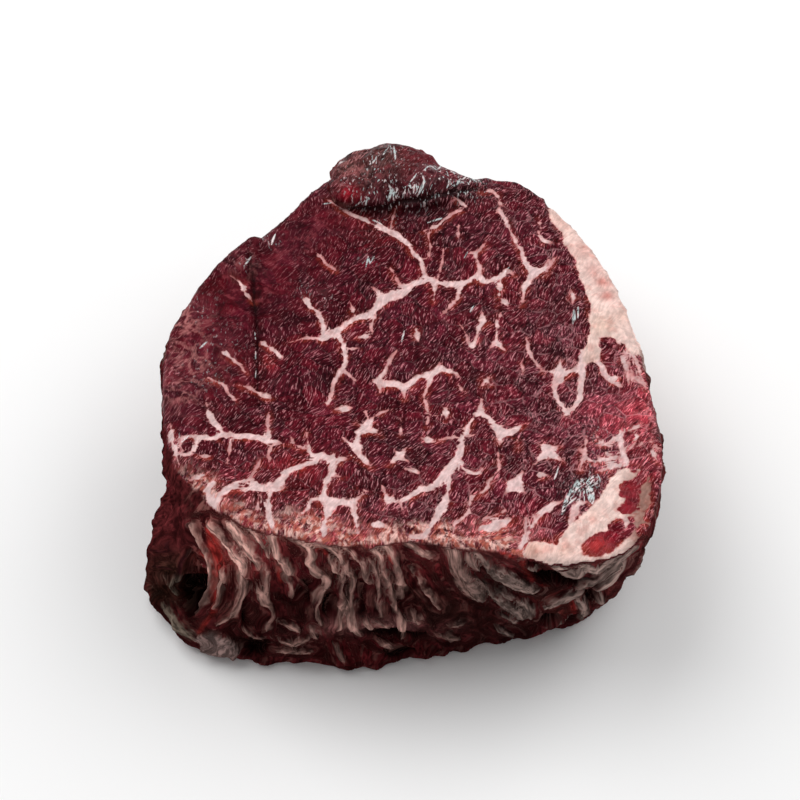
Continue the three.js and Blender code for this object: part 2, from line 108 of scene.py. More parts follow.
# Fat seams of the cut face: points x, y and the full width there
SEAMS = [
    # back of the face
    [(-13.3, 31.5, .3), (-11.5, 30, .5), (-10, 28.9, .6), (-7.5, 27.5, .9), (-5, 25.9, 1.2),
     (-2.3, 24.6, 1.6), (-.5, 23.2, 1.2), (.8, 21.5, .9), (1.8, 19.7, .8), (3, 18.3, .9), (3.3, 16, .6),
     (3.7, 14.2, .8)],
    [(-2.4, 25.8, .5), (-1.9, 28.5, .35), (-1.5, 29.7, .3)],
    [(4.4, 25, .3), (4.3, 23, .3), (4.6, 21, .35), (4.1, 19, .4), (3.3, 18.6, .5)],
    [(3.8, 25, .5), (5.5, 25.8, .9), (6.8, 27, .8), (8.5, 28.7, .4), (10, 29.5, .6), (11, 30.2, .7),
     (10.3, 31, .8), (9.5, 31.8, .6)],
    [(9.6, 25.8, .4), (9.5, 24, .5)],
    [(6.8, 20.5, .3), (6.6, 18, .3), (6.2, 16, .35), (5.7, 14.2, .5)],
    [(14.4, 22.2, .3), (13, 20.5, .5), (12.4, 19.8, .7), (12.9, 18, .5), (13.2, 16.5, .6), (12.8, 15, .8)],
    [(13, 20.5, .5), (11.6, 19.9, .3)],
    [(-15.3, 19.8, .5), (-14, 18, .4), (-12.3, 16.3, .3)],
    # main seam across the middle
    [(18.8, 15.4, .4), (17.8, 16.1, .8), (17.3, 15.3, .9), (16.5, 14.4, 1), (15, 13.9, .9), (14.3, 13.3, .9),
     (12.8, 15, 1.1), (11.5, 14.2, .9), (10, 13.2, 1.1), (8, 13.1, 1.3), (6, 13.4, 1), (5, 14, 1.2),
     (4, 14.1, 1.1), (2, 13.3, 1), (.5, 12.5, 1.3), (.3, 11.8, 1.4), (-1.5, 10.6, 1.9), (-3.5, 10, 2.1),
     (-4, 9.3, 1.9), (-5.2, 7.8, 1.2), (-6, 6.5, 1.1), (-8, 6, 1.2), (-8.8, 5.6, 1.1), (-10.5, 4.2, .9),
     (-12, 2.8, 1.2), (-13.2, 2.1, 1.7), (-14, 1.4, 1.1), (-15, 1.5, .5), (-17, 1.5, .4), (-19.5, .7, .25)],
    [(-3.6, 10.4, .8), (-5.3, 12, .3)],
    [(-.3, 12.3, .6), (-1.2, 13.8, .35), (-2.3, 16.5, .25)],
    [(-8.7, 6.5, .6), (-9.2, 8.5, .3)],
    [(-13.9, 2.6, 1), (-14.2, 5, .7), (-15.2, 7.2, .6), (-16.4, 8.3, .7), (-16.9, 9.5, 1.1)],
    [(-11.3, 1.9, .9), (-10.6, 0, .8), (-10.2, -2.5, .7), (-10.2, -3.6, .8), (-11, -5.5, .6), (-12, -8, .6),
     (-12.5, -10.5, .5), (-13, -12, .6)],
    [(-10.3, -5.5, .5), (-8.5, -7.2, .3)],
    [(-5.3, 5.8, .6), (-5.8, 4, .4), (-5.5, 3, .3)],
    [(5.1, 13, .7), (5.2, 11, .5), (5.1, 9.7, .4)],
    [(10, 12.8, .8), (9.3, 11.2, .6), (9, 9.9, .5), (6.5, 6.5, .25)],
    [(16.8, 13.9, .9), (16.5, 11, .7)],
    [(-7.4, 1.8, .6), (-6.6, 1.8, 1.1)], [(-9.2, -.7, .5), (-8.5, -.7, .4)],
    [(-11, -13.2, .6), (-10.4, -13.1, 1.1), (-9.6, -13, .7)],
    [(17, 9.9, .4), (17.4, 9.3, .9), (17.9, 8.6, .4)], [(16.8, 8.9, .3), (17.4, 9.3, .8), (18.1, 9.8, .3)],
    [(29.2, 11.2, .5), (29.4, 10.3, 1), (29.3, 9.6, .5)],
    # centre
    [(-4.6, -7.5, .9), (-3.5, -8, 1.3), (-2, -8, 1.2), (-.5, -8.4, 1.2), (.8, -8, 1.1), (2.3, -6.7, 1),
     (4, -6.2, 1), (5.2, -5.3, 1.3), (6.5, -4.9, 1), (8.5, -5.6, .7), (8.9, -6.1, .4)],
    [(-4, -6.8, .8), (-3.2, -4.8, .5), (-2.2, -2.5, .4), (-1.6, -1.5, .25)],
    [(-.2, -8.8, .7), (0, -10.7, .25)], [(-4, -8, .8), (-4.2, -9.6, .3)], [(5.4, -5, .9), (5.8, -4.2, .4)],
    [(4.7, -6.4, .7), (3.8, -9, .45), (3.3, -10.8, .4), (3.7, -12.5, .45), (4, -14.2, .5), (3.8, -16, .35)],
    [(4, -14.2, .4), (5, -14.5, .25)], [(2, 3.2, .7), (2.3, 1.5, .7)], [(7, -13.6, .8), (7, -14.5, .7)],
    [(9, -7.8, .4), (9.8, -9.5, .35)],
    [(13.2, -6.8, .3), (13.8, -7.3, .8), (14.4, -7.9, .3)],
    [(14.3, -6.7, .3), (13.8, -7.3, .7), (13.4, -8, .3)],
    [(9.5, 4.5, .25), (10.5, 2.5, .3), (11, .7, .35), (11.5, -.2, .9), (12.3, 1.5, .6), (12.9, 4, .7),
     (13.6, 5.3, 1.3), (13.5, 6.3, .5)],
    [(16.5, 6.4, .4), (16, 5, .6), (15.9, 3, .6), (15.8, 1.2, .7), (16.1, .2, .9), (16.8, -.6, .4)],
    [(15.8, 1.2, .6), (15.1, -.1, .35)],
    # right of the centre, down to the front rim
    [(13, -11.7, .4), (13, -13.6, .8), (14.3, -15, 1), (15.1, -16.3, 1.2), (16.3, -17.7, 2), (17.5, -18, 1.3),
     (18.8, -17, .9), (19.8, -16.3, .35)],
    [(16.3, -17.9, 1.6), (16, -19.8, .4)],
    [(13, -13.6, .8), (11.8, -14.8, .7), (10.8, -16.2, .7), (10.3, -18, .9), (9.7, -19.2, 1),
     (9.3, -21.5, 1.1), (8.7, -23.2, 1.3), (7.7, -25, 1.7), (6.5, -26.5, 1.5), (5.5, -28, 1.2),
     (4.3, -29, 1.2), (2.5, -29.2, 1.2), (1.5, -30, .9), (.2, -31, .8), (-.5, -31.8, .5), (-.4, -33, .4)],
    [(7.2, -26.3, .8), (7.3, -28.5, .8), (7, -30.5, 1), (6.3, -32.7, 1.5), (5.5, -34, 1.2), (4.8, -35.5, 1),
     (4, -37, 1), (3, -38.3, .9), (1, -38.4, .6)],
    [(9.2, -23.4, .8), (9.6, -24.6, .6), (10.3, -25.6, .6), (12, -26.1, .7), (12.8, -25.3, .35)],
    [(9.6, -19, .5), (7.5, -18.8, .4), (6.3, -19.2, .25)], [(10.2, -18.7, .4), (11.4, -18.5, .25)],
    [(3.6, -19.2, .6), (4.1, -19.4, 1)], [(-.6, -16.4, .3), (-.6, -17.2, .6), (-.6, -17.8, .3)],
    [(-1.5, -21.8, .35), (-.8, -22.7, 1.4), (-2.3, -24, .35)],
    [(.3, -23.6, .35), (-.8, -22.7, 1.3), (0, -21.5, .3)],
    [(.9, -25.4, .6), (1.5, -25.6, 1)],
    [(-3.5, -29, .4), (-3, -30.5, .6), (-2.4, -31.2, 1.2), (-1.3, -31.7, .4)],
    [(-2.4, -31.2, .9), (-3, -32.3, .3)],
    [(-7, -29.2, .4), (-6.4, -29.4, .5)], [(-4.3, -14.3, .4), (-3.3, -13.7, .35)],
    [(-6.5, -14, .35), (-6.1, -15.6, .6), (-6.3, -16.8, 1.8), (-7.6, -18, 1.3), (-7.9, -20, 1.2),
     (-8, -21.3, 1.7), (-7.3, -22.7, 1.1), (-6.3, -23.9, .6), (-5.6, -24.6, .3)],
    [(-5.3, -15, .35), (-6.3, -16.8, 1.5), (-7.5, -16.2, .4)], [(-10, -19.3, .3), (-8, -21, 1.2)],
    [(-6.2, -17.2, 1), (-4.2, -18.3, .35)],
    # left, from the rim inwards
    [(-33.4, -12.8, .5), (-33, -14.3, .9), (-32, -16, .8), (-31, -17.3, .8), (-30.4, -17.9, .9)],
    [(-34.5, -18.7, .8), (-32.5, -19, .9), (-30.5, -18.3, 1.1), (-28, -18.6, 1), (-26, -18.7, 1.1),
     (-24, -19.2, 1.2), (-22.3, -19.8, 1.1), (-21.3, -20, .6)],
    [(-23, -14.5, .35), (-23, -17, .45), (-22.8, -19, .7)],
    [(-22, -20.3, .5), (-22.7, -22.3, .4), (-22.2, -24, .3)],
    [(-37.4, -19.2, .5), (-36.2, -18.5, .6), (-35, -19.1, .7), (-34.8, -20.2, .7), (-35.4, -21.4, .7),
     (-36.6, -22.4, .6), (-37.5, -22, .4)],
    [(-37.4, -19.2, .4), (-37.6, -20.4, .45), (-37.2, -21.4, .4)],
    [(-39.3, -17, .5), (-39.1, -19.3, 1.2), (-38.3, -22, .8), (-37.6, -24.3, .4)],
    [(-19, -19, .3), (-18.5, -20.2, .4), (-16.2, -21.2, .4)],
    [(-16.4, -18.5, .3), (-16.2, -20, .5), (-15.8, -21.8, .7), (-15, -22.5, 1.1), (-14, -22.6, 1.3),
     (-12.8, -23, 1.4), (-11.5, -23.3, 1.1), (-10.2, -23.2, .6)],
    [(-12, -23.2, 1.2), (-12.1, -25.7, 1), (-12.9, -27.7, 1), (-13.2, -29.5, 1.1), (-13, -31, 1.6),
     (-12.3, -32, 2.1), (-12.7, -34, 1.1), (-13.3, -36, 1), (-13.3, -37.8, .9)],
    [(-12.3, -31.9, 1.8), (-11, -31.7, 1.3), (-9.5, -31.8, 1.2), (-8.5, -32.3, 1.2), (-8.3, -33.7, .8),
     (-8, -35.5, .7), (-7.7, -37.3, .6)],
    [(-8.9, -31.9, .9), (-7.3, -30.5, .3)],
    [(-13.2, -31.2, 1.2), (-15.3, -31.2, .7), (-16, -33, .6), (-17, -34, .6)],
    [(-12.8, -27.5, .8), (-12, -26.6, .4), (-10.6, -26.6, .35)],
    [(-14.2, -22.8, 1.2), (-15.3, -23.8, .9), (-17.2, -24.5, .9), (-18.8, -25.3, 1), (-20, -26.3, 1.3),
     (-20.7, -27.7, 1.7), (-21.5, -28.7, 2), (-23.5, -29, 1.5), (-25, -28.9, 1.2), (-27, -29.1, .9),
     (-28.3, -28.7, 1.1), (-29.5, -29.3, 1), (-30.5, -30.2, 1.2), (-31, -31.3, 1)],
    [(-24.4, -28.6, 1), (-25.4, -27.4, .7), (-27.2, -27.5, .6), (-28.3, -28.3, .8)],
    [(-26, -27.4, .5), (-25, -25.8, .35), (-24.3, -24, .3)],
    [(-31.9, -28, 1), (-32.5, -29.5, 1.3), (-31.8, -31.5, 1.3), (-31.5, -32.8, 1)],
    [(-22.1, -29.4, 1), (-22.5, -31.5, .8), (-22.2, -34, 1.1), (-21.8, -36, 1)],
    [(-24.2, -31.2, .4), (-24.2, -32.8, .5)], [(-35.2, -27.2, .5), (-33.6, -26.4, .7)],
    [(-33.5, -22.6, .5), (-32.9, -22.6, .6)], [(-29.2, -19.3, .6), (-29.3, -21.5, .4), (-29.5, -23.5, .3)],
    [(-30, 14.5, .4), (-28.3, 12.8, .7), (-27.8, 11.3, .6), (-26.6, 9.8, .5)],
    [(-31.6, -1.2, .35), (-30.7, -1.7, .8), (-28.5, -3.8, .4), (-27.5, -5.3, .5)],
    [(-24.3, .5, .6), (-22.5, -1, .6), (-21.5, -2, .9)],
    [(-28, -8.3, .35), (-26.5, -8.8, .4), (-25, -9.7, .5), (-23.4, -10.5, .9)],
    [(-33, -7, .3), (-31, -8, .45), (-30, -9.5, .4), (-29, -11, .5)],
    # front right
    [(-5, -36, .9), (-4, -36.2, 1.4)], [(12.8, -36.8, .9), (14.5, -36.5, 2.2), (17, -35.3, .9)],
    [(16.3, -33.5, .4), (13.5, -34.8, .4)],
    [(21.5, -34, .35), (24, -32.7, 1.4), (25.5, -31.8, .4)], [(20, -35, .4), (20, -37, .5)],
    [(19.5, -26.2, .4), (18.3, -28.5, 2), (17, -29.7, .4)], [(18.3, -28.5, 1.7), (19.8, -29.7, .4)],
    [(23.3, -20, .4), (24, -21.5, 1.7), (25.8, -23.3, .4)],
    [(25.5, -20.8, .3), (24, -21.5, 1.5), (22, -24, .3)],
    [(22.2, -26.5, .6), (22.8, -26.5, .9)],
    [(15.6, -22.5, .3), (15.7, -25.5, .4), (14.3, -27.2, .5), (13.8, -28.5, .5), (13, -29.7, .7),
     (12.3, -29.9, .6), (11, -31, .5), (10.8, -32, .5), (10.5, -34, .5), (8.5, -35.5, .5), (8, -37.5, .4)],
    [(19, -20, .3), (19.2, -21.8, .4)], [(30.5, -19, .35), (30.1, -22, .5), (29.3, -25, .35)],
    [(21, 1.2, .4), (21.4, -1.5, .5), (22.8, -4, .5)], [(20, -4, .3), (20.2, -4.8, .4)],
    # right of the back
    [(14.3, 33.7, .5), (15.5, 33.8, .7), (16.5, 32.8, .7), (17, 31.2, .6), (17, 29.5, .7), (17.5, 28, .7),
     (18, 26.9, .8), (18.6, 25, .6), (19.3, 23.2, .7), (20, 21.7, .7), (20.6, 20.5, .6), (21, 18.5, .8),
     (21.7, 17, 1.2), (22.6, 16, 2), (24.3, 16.4, 1), (25, 18, .4)],
    [(17, 29.3, .5), (16.2, 28.9, .3)], [(22.3, 15.4, 1.5), (21.8, 14, 1.2), (21, 12.5, .9), (20.7, 10.5, .5),
                                         (20.4, 9, .3)],
    [(24.3, 14.8, .3), (25.4, 17, .3), (26.5, 19, .3)],
    [(23.8, 24.5, .4), (24.2, 23, .6), (25, 22.4, .7), (25.7, 22.3, .4)],
    [(23.9, 27.3, .3), (24.1, 25.8, .4)],
    # beside the fat cap
    [(30.6, -2, 1.4), (30.4, -5, 1.3), (30, -8, .9), (29.7, -11, .8), (28.6, -13, .7), (27.6, -14, .9)],
    [(26.7, -3, .4), (26.5, -5, 1.2), (26.4, -6.2, 2.1), (25.7, -8, 1.3), (25.5, -9.5, .8), (26, -11.3, .6),
     (27, -13, .8), (27.6, -14, .9)],
    [(23.8, -5.3, .35), (25.3, -5.5, .8), (26.5, -6, 1.5), (28.5, -5.3, .8), (30, -4.6, .9)],
    [(33.2, -3.8, .7), (34.3, -5.5, .7), (35, -7, 1), (35.6, -6.8, 1.2)],
    [(32.3, -18.4, .3), (33, -20, .6), (34.8, -20.6, .5), (36, -19.6, .4)],
    [(32.2, -23, .3), (33.6, -22.3, .5), (35.4, -23, .5)],
    # fingers and threads at the front right corner
    [(19.2, -40, .9), (21, -36.1, .7), (21.8, -34.6, .4)],
    [(21.4, -35.4, .6), (23.2, -33.6, .6), (25.7, -31.7, .35)],
    [(29.4, -21.4, .35), (31, -23.4, .6), (33, -23.4, .6), (35.2, -22.8, .9)],
    [(33.1, -20.4, .4), (36.2, -18.8, .8)],
    [(36.3, -16.8, .35), (36.2, -18.8, .8), (36.4, -21, .9), (37, -24, .9)],
    [(37.9, -17.4, .5), (39.7, -16.4, .5)],
    [(32.6, -25.4, .3), (34.6, -25, .8)],
    # around the islands below the cap
    [(38.4, .1, .71), (39.6, -3.1, .53), (40.3, -6.2, .43), (40.9, -8.9, .18)],
    [(35.4, 2.4, .53), (37.2, .1, .53), (38.3, -3.1, .35), (38.8, -5.6, .25)],
    [(33, -1.6, 1), (33.4, -4, .6), (34.4, -7, .5), (36.6, -8.4, .5)],
    [(37.4, -2.8, .7), (37.9, -5, .5), (38.1, -7.6, .5)],
    [(38, -6, .4), (40.6, -7.8, .45)],
    [(27.4, -36, .6), (27.9, -33.8, 1.3), (28.6, -32.2, 1), (29.6, -31.9, .5)],
    # outside the chain muscles of the corner
    [(40.5, -27.2, .35), (40.1, -28.7, 1.4), (39.9, -30.5, 1.8), (39.7, -31.9, 1.6), (39.3, -33, .7)],
    [(41.6, -21, .35), (41.6, -22, .7), (42, -23, .7)],
    [(35.4, -33.8, .35), (36, -34.6, .9), (36.4, -35.5, 1), (36.2, -36.7, .5)],
    [(37.5, -34, .35), (38.3, -33.6, 1), (39.3, -34.4, .5)],
    [(39.4, -20.8, .2), (40.4, -19.4, .35), (41.5, -20, .3), (42.3, -20.8, .2)],
    [(33.1, -23.8, .35), (34.1, -24.4, .7), (35.3, -24.6, .9), (36.3, -24.2, .5)],
    [(36.3, -23.4, .5), (37.2, -21.8, .5), (38.3, -20.6, .35)], [(38.9, -18.6, .7), (38.7, -19.6, .35)],
]

# Solid fat: the cap along the right of the back, and the band at the front right corner
FAT_CAP = [(25.7, 30.5), (25.8, 27.5), (27, 25.8), (28, 23.8), (27.8, 22), (29, 20.3), (30, 18.5), (30.2, 16),
           (31, 13), (31.8, 10.5), (32.2, 8), (31.9, 5.5), (31.7, 2), (30.9, 0), (30.7, -1.5), (30.6, -3.5),
           (32.4, -3.6), (33.6, -2.2), (33.5, 1.6), (35.6, 1.4), (37.6, .2), (38.2, -1.2), (40, -2.2),
           (43, -3), (43, 8), (40, 15), (36, 24), (29, 34), (26, 34)]
FAT_BAND = [(37.9, -24.6), (39.2, -25.4), (38, -27), (36.1, -28.5), (36.4, -30.7), (36.4, -32.3), (37, -34),
            (39.6, -33.8), (40.8, -34.6), (43, -33), (44, -38), (40, -48), (31, -50), (22, -48), (19.5, -44),
            (19.6, -41), (20.6, -39.4), (23, -39.4), (24.8, -40), (25.5, -38), (26.9, -36.5), (28.6, -34.8),
            (30.6, -32.8), (32.7, -30.1), (33.6, -28.2), (35, -26.2), (36.7, -25)]

# Thin chain muscles in the fat, as x, y, length, width, heading in degrees
CHAIN_LOBES = [
    (37.2, -29.3, 3.9, 3.1, 70), (36.6, -32.9, 3.4, 2, 15), (32.2, -39.7, 7.2, 4.2, 27),
    (40.4, -33.6, 4.6, 1.6, 75), (35.6, -37, 5.2, 4, 45), (39.3, -37.2, 3.4, 2.4, 50),
    (41.2, -28.5, 5, 2, 80), (38.4, -24.8, 2.6, 1.6, 60),
]

# The rim of the cut face as seen, closed far behind the back of it
RIM = [(-60, 50), (-60, 6), (-42, 4), (-41.6, -8), (-41.2, -13), (-40.5, -17), (-39.5, -20.5), (-38, -25),
       (-36.5, -27.2), (-34.5, -29.5), (-33, -31.5), (-30, -34), (-27, -35.7), (-25, -37), (-20, -38.2),
       (-14, -39.5), (-6, -40.5), (0, -39.3), (7, -40.3), (13, -41), (17, -41.5), (20, -42.5), (25, -43.8),
       (31, -43.3), (34, -42.3), (36, -41), (38, -39.5), (40, -37), (41, -34), (42.5, -30), (43.2, -25),
       (43.6, -20), (46, -12), (60, 0), (60, 60), (0, 80)]

# Pale strands and sheets on the front of the wall: points x, z and the full width there
STRANDS = [
    [(-33.6, 39.4, .4), (-32.7, 34.7, .5), (-32.5, 31.2, .5), (-32.4, 28.2, .4), (-32.7, 24.1, .7),
     (-33.3, 21.8, .8), (-34.2, 19.4, .7), (-35.2, 18, .4)],
    [(-30.3, 29.7, .6), (-30.2, 27.4, .9), (-30.8, 25.3, .8), (-31.2, 22.4, .6), (-31.5, 19.4, .5),
     (-32.4, 17.4, .4)],
    [(-29.8, 40, 1.2), (-28.6, 37, 1.4), (-27.5, 34, 2.2), (-26.8, 31.2, 1.3), (-27.1, 27, 1.6),
     (-27, 23.6, 1.6), (-27.6, 21, 1.3), (-28.3, 18, 1), (-29.2, 15, 1), (-30.6, 13.5, .9), (-31.8, 12, .5)],
    [(-26.2, 38.2, 1.5), (-25.4, 35.6, 1.8), (-24.5, 32.6, 1), (-24.2, 30.3, .5)],
    [(-23, 30.6, .5), (-22.9, 28.2, .4), (-23, 24.7, .5), (-23.1, 22.4, .5)],
    [(-24.5, 23.5, 1), (-23.9, 21.8, 1.9), (-23.6, 19.4, 1.6), (-22.8, 18, .8), (-22.4, 16, .6),
     (-22.4, 14.1, .6), (-23.3, 11.8, .7), (-23.6, 10, .5)],
    [(-21.5, 39.4, 1.3), (-21.1, 36.5, 1.2), (-20.6, 34.1, 1), (-20, 32.4, 1.2), (-19.3, 29.7, 1.7),
     (-19.8, 27.4, .9), (-19, 24.7, .8), (-19, 21.2, .5)],
    [(-23.9, 40, .6), (-22.7, 37, .6), (-22.4, 34.7, .4)],
    [(-17.1, 38.8, 1.2), (-15.6, 37, 1.2), (-15.1, 34.7, 1.5), (-15.6, 33, 1.4), (-15, 30.6, 1.6),
     (-14.1, 28.8, 1.5), (-13.1, 27, 1.5), (-13.2, 24.7, 1.3), (-14.1, 22.4, 1), (-14.6, 19.4, .8),
     (-15, 16.5, .6), (-14.7, 13.5, .9), (-14.4, 11.8, .8)],
    [(-13.7, 37.8, .9), (-12.2, 36.8, 1.2), (-10.9, 35, 1.1), (-10, 32.4, .9), (-9.6, 29.7, 1.3),
     (-8.7, 27.4, 1), (-8.7, 24.1, .8), (-9.1, 21.2, .9), (-9.3, 18.5, 1.3), (-9.2, 15, 1.6), (-9, 12, 1.7),
     (-8.6, 9.5, 1.3), (-7.8, 8, .7)],
    [(-10.4, 19.9, 1.2), (-10.7, 15, 1.4), (-11, 11.5, 1.3), (-11.3, 9.8, .5)],
    [(-12.4, 34, .5), (-11.6, 30.9, .8), (-10.6, 28.8, .6), (-10.3, 25.9, .5), (-10.6, 23.5, .6),
     (-10.4, 21.2, .6)],
    [(-10, 37.4, .7), (-8.7, 35.6, .6), (-7.6, 32.9, .5), (-6.8, 31.2, .9), (-6.3, 27.6, .8),
     (-5.9, 25.9, .3)],
    [(-6.8, 39.4, 1.2), (-5.3, 37, 1.1), (-4.1, 34.4, 1), (-3.7, 32, .7), (-3.5, 29.4, .9), (-2.9, 26.8, 1),
     (-2.4, 23.5, .9), (-2.1, 20.9, .8), (-1.8, 18.2, .8), (-1.2, 15.6, .9), (-.7, 13.5, 1.5),
     (-.4, 10.6, 1.4), (-.4, 7.6, .8)],
    [(-4, 38.8, 1.3), (-2.6, 36.5, 1.3), (-1.8, 33.5, 1), (-1.3, 30.3, 1), (-.9, 27.4, 1), (-.6, 24.1, 1),
     (-.6, 21.2, .7)],
    [(-5.4, 32.6, .5), (-4.7, 28.8, .5), (-4.4, 25.3, .5), (-4.3, 21.8, .5), (-4.3, 18.5, .5), (-4, 15, .5)],
    [(1.2, 30.3, .4), (2.4, 27.4, .4), (3.5, 23.5, .6), (4.7, 20.6, .6), (5.9, 17.4, .5)],
    [(1.8, 37, 1), (2.9, 35.6, 1.4), (4.1, 34.4, .6)], [(1.4, 15.5, .8), (1.7, 13.8, 1.6), (2.2, 12.3, .5)],
    [(7.8, 37, 2.2), (8.4, 33.5, 2.4), (9, 30, 2.6), (9.9, 27, 3), (10.8, 24.5, 3.6), (12.2, 21.9, 3),
     (13, 20.6, 1)],
    [(10.7, 34.8, .9), (11, 33, 1.5), (11.8, 31, 1.2)],
    [(11.8, 35.3, .9), (13.3, 32.4, 1.2), (14.5, 29.4, 1.5), (16.8, 26.8, 1.9), (18.9, 25, 2.1),
     (21, 23.7, 1.7)],
    [(15.6, 30, .6), (18, 27.8, 1.2), (20.2, 25.6, 1.2), (21.8, 24, .9)],
    [(10.9, 28.8, .6), (12.7, 25.9, .9), (14.5, 22.9, 1), (15.6, 20.6, 1.3), (17.1, 18.2, 1.7),
     (18.9, 16.5, 1.9), (20, 14.6, 1.4)],
    [(19.6, 19.4, 1.2), (20.8, 17.4, 1.6), (21.5, 14.6, 1)], [(15.9, 23.5, .7), (18, 21.2, .8)],
    [(17, 14.6, .7), (18.8, 13.2, .8)],
    [(29.5, 24.7, 1), (31.5, 26.5, 1.1), (33, 28.2, 1.2), (34.5, 30.9, 1.4), (35.6, 33.5, 1.2),
     (37.7, 37, .8)],
    [(32.7, 24.1, 1.2), (34.5, 27, 1.6), (35.6, 29.7, 1.3), (36.2, 32.4, .6)],
    [(24.5, 18.2, 1.2), (27.1, 20.9, 1.9), (29.2, 22.6, 1.4), (29.8, 23.5, .6)],
    [(29.8, 19.4, 1.7), (30.6, 16.5, 1.5), (30.3, 13.5, .6)], [(33, 21.4, .9), (33.5, 19, 1.1)],
    [(30, 31, 1.8), (32, 30, 1.6), (33.6, 32, 1.3), (35, 35, 1)],
    [(25.2, 31, 1.2), (27, 29.5, 2.6), (28.6, 28.6, 2.4), (29.4, 30.5, 1.6)],
    [(-40.6, 18.4, .8), (-39.6, 14.5, 1.5), (-38.6, 11.3, 1.7), (-37, 8, 1.5), (-35.8, 6, 1)],
    [(-35.2, 21, .5), (-36.2, 16.5, .6)], [(-40, 27.6, .3), (-39.4, 24.6, .4), (-38.6, 22, .3)],
    # left bulge
    [(-37.7, 27, .7), (-36.8, 32.6, .8), (-35.6, 35.6, .7)], [(-39.2, 25, .5), (-38.5, 28, .5)],
    [(-40.4, 36, .6), (-39, 38.6, .6)], [(-41.5, 31, .3), (-38.5, 30.6, .4)],
    # foot
    [(-20.6, 12, .8), (-19.2, 11, 1.6), (-18.4, 9.6, .8)], [(-21, 6, 1.2), (-19.4, 5, 2.2), (-17.2, 6.4, 1)],
    [(-21.6, 2, .5), (-19, 2.2, 1.2), (-16.8, 2, .8)], [(-15.9, 9.4, 1), (-15.4, 7.6, .9)],
    [(-6.6, 12.6, .9), (-5.8, 10.4, 1)], [(-4.6, 12.4, .8), (-3.4, 11.2, 1.2)],
    [(-3.5, 4.9, 1.6), (-2.5, 3.5, 1.4)],
    [(-11.9, 4.4, .6), (-11.2, .6, .8), (-10.6, -2, .6)], [(7, 7.4, 1.7), (8.6, 6.8, 1.7)],
    [(8.3, 11.2, 1), (9.3, 11.6, 1)],
    [(-27.4, 9.4, .6), (-25.6, 7, .7), (-24.6, 6.4, .4)], [(16.4, 9.6, 1), (18, 8.4, 1.1)],
]

# Grey silverskin flap at the left foot, on the upright plane
FLAP = [(-35.5, 5), (-36, 7), (-34, 8.8), (-33, 9.5), (-32, 8), (-30, 6.5), (-29, 4), (-28.8, 1.5),
        (-30, -.5), (-32, -.5), (-35, 0)]

# Openings of the wall on the upright plane, with how deep each goes; painted shade darkens them
POCKETS = [
    ([(18.5, 33), (20.5, 32.5), (22.5, 31.5), (24, 30), (25.5, 28.3), (28, 26.8), (30.5, 27), (31, 26.5),
      (29.5, 25.5), (27, 25.3), (24.5, 26), (22.2, 26.5), (21.3, 28), (20.2, 30.5), (19, 32)], 2.6),
    ([(-36.8, 27.5), (-33.2, 28), (-32.9, 25.5), (-33.6, 22), (-34.8, 19), (-36.6, 14.8), (-37.6, 14.6),
      (-37.9, 20), (-37.4, 24)], 2.6),
    ([(-27, 20), (-26, 19.5), (-26.2, 16), (-26.7, 11.5), (-28, 10.6), (-28.3, 12), (-27.6, 16)], 1.6),
    ([(-13.4, 21.5), (-12.2, 21), (-11.9, 16.5), (-12.8, 14), (-13.9, 15.5)], 1),
    ([(-7.9, 24.5), (-6.7, 25), (-6.4, 19), (-7.2, 14.5), (-8.2, 15)], .9),
    ([(-17.8, 25.5), (-15.6, 25.5), (-15.2, 21), (-16.6, 19), (-18, 21)], .9),
    ([(30.4, 22.6), (32.3, 22.3), (32, 18.5), (31.3, 17.2), (30.6, 19.6)], 1.2),
    ([(24, 14.6), (28.6, 13.6), (28.8, 11.6), (26, 9.8), (23.4, 10.8)], 1.6),
    ([(-7, 9.6), (-3, 9.8), (3.6, 8.2), (3, 6.8), (-3, 7), (-6.6, 7.6)], .9),
    ([(-28.4, 6), (-23.2, 5.4), (-23.6, 1), (-28, 1)], .8),
    ([(-3.4, 2.6), (1, 2.6), (1.4, -.6), (-3, -1)], .7),
]

# Strips of bright red muscle between the strands
RED_STRIPS = [
    [(-31.5, 40, 1.6), (-31.3, 36, 2), (-31.2, 30, 1.8), (-31.7, 24, 1.4)],
    [(-31.8, 22.5, 1.2), (-33, 16, 1), (-34.5, 12, .9), (-35.5, 9, .7)],
    [(19.4, 31, .5), (20.5, 28.5, .6), (21.5, 26.5, .4)], [(28.8, 18, .7), (29, 15, .8)],
    [(23.4, 24.7, .5), (23.9, 24.4, .5)], [(-2.6, 36, .5), (-2.2, 33, .4)], [(-14, 37, .6), (-13, 35, .5)],
    [(16.4, 35.6, .8), (17.4, 34.4, .6)], [(-20.8, 30, .7), (-20.6, 26, .6)],
]

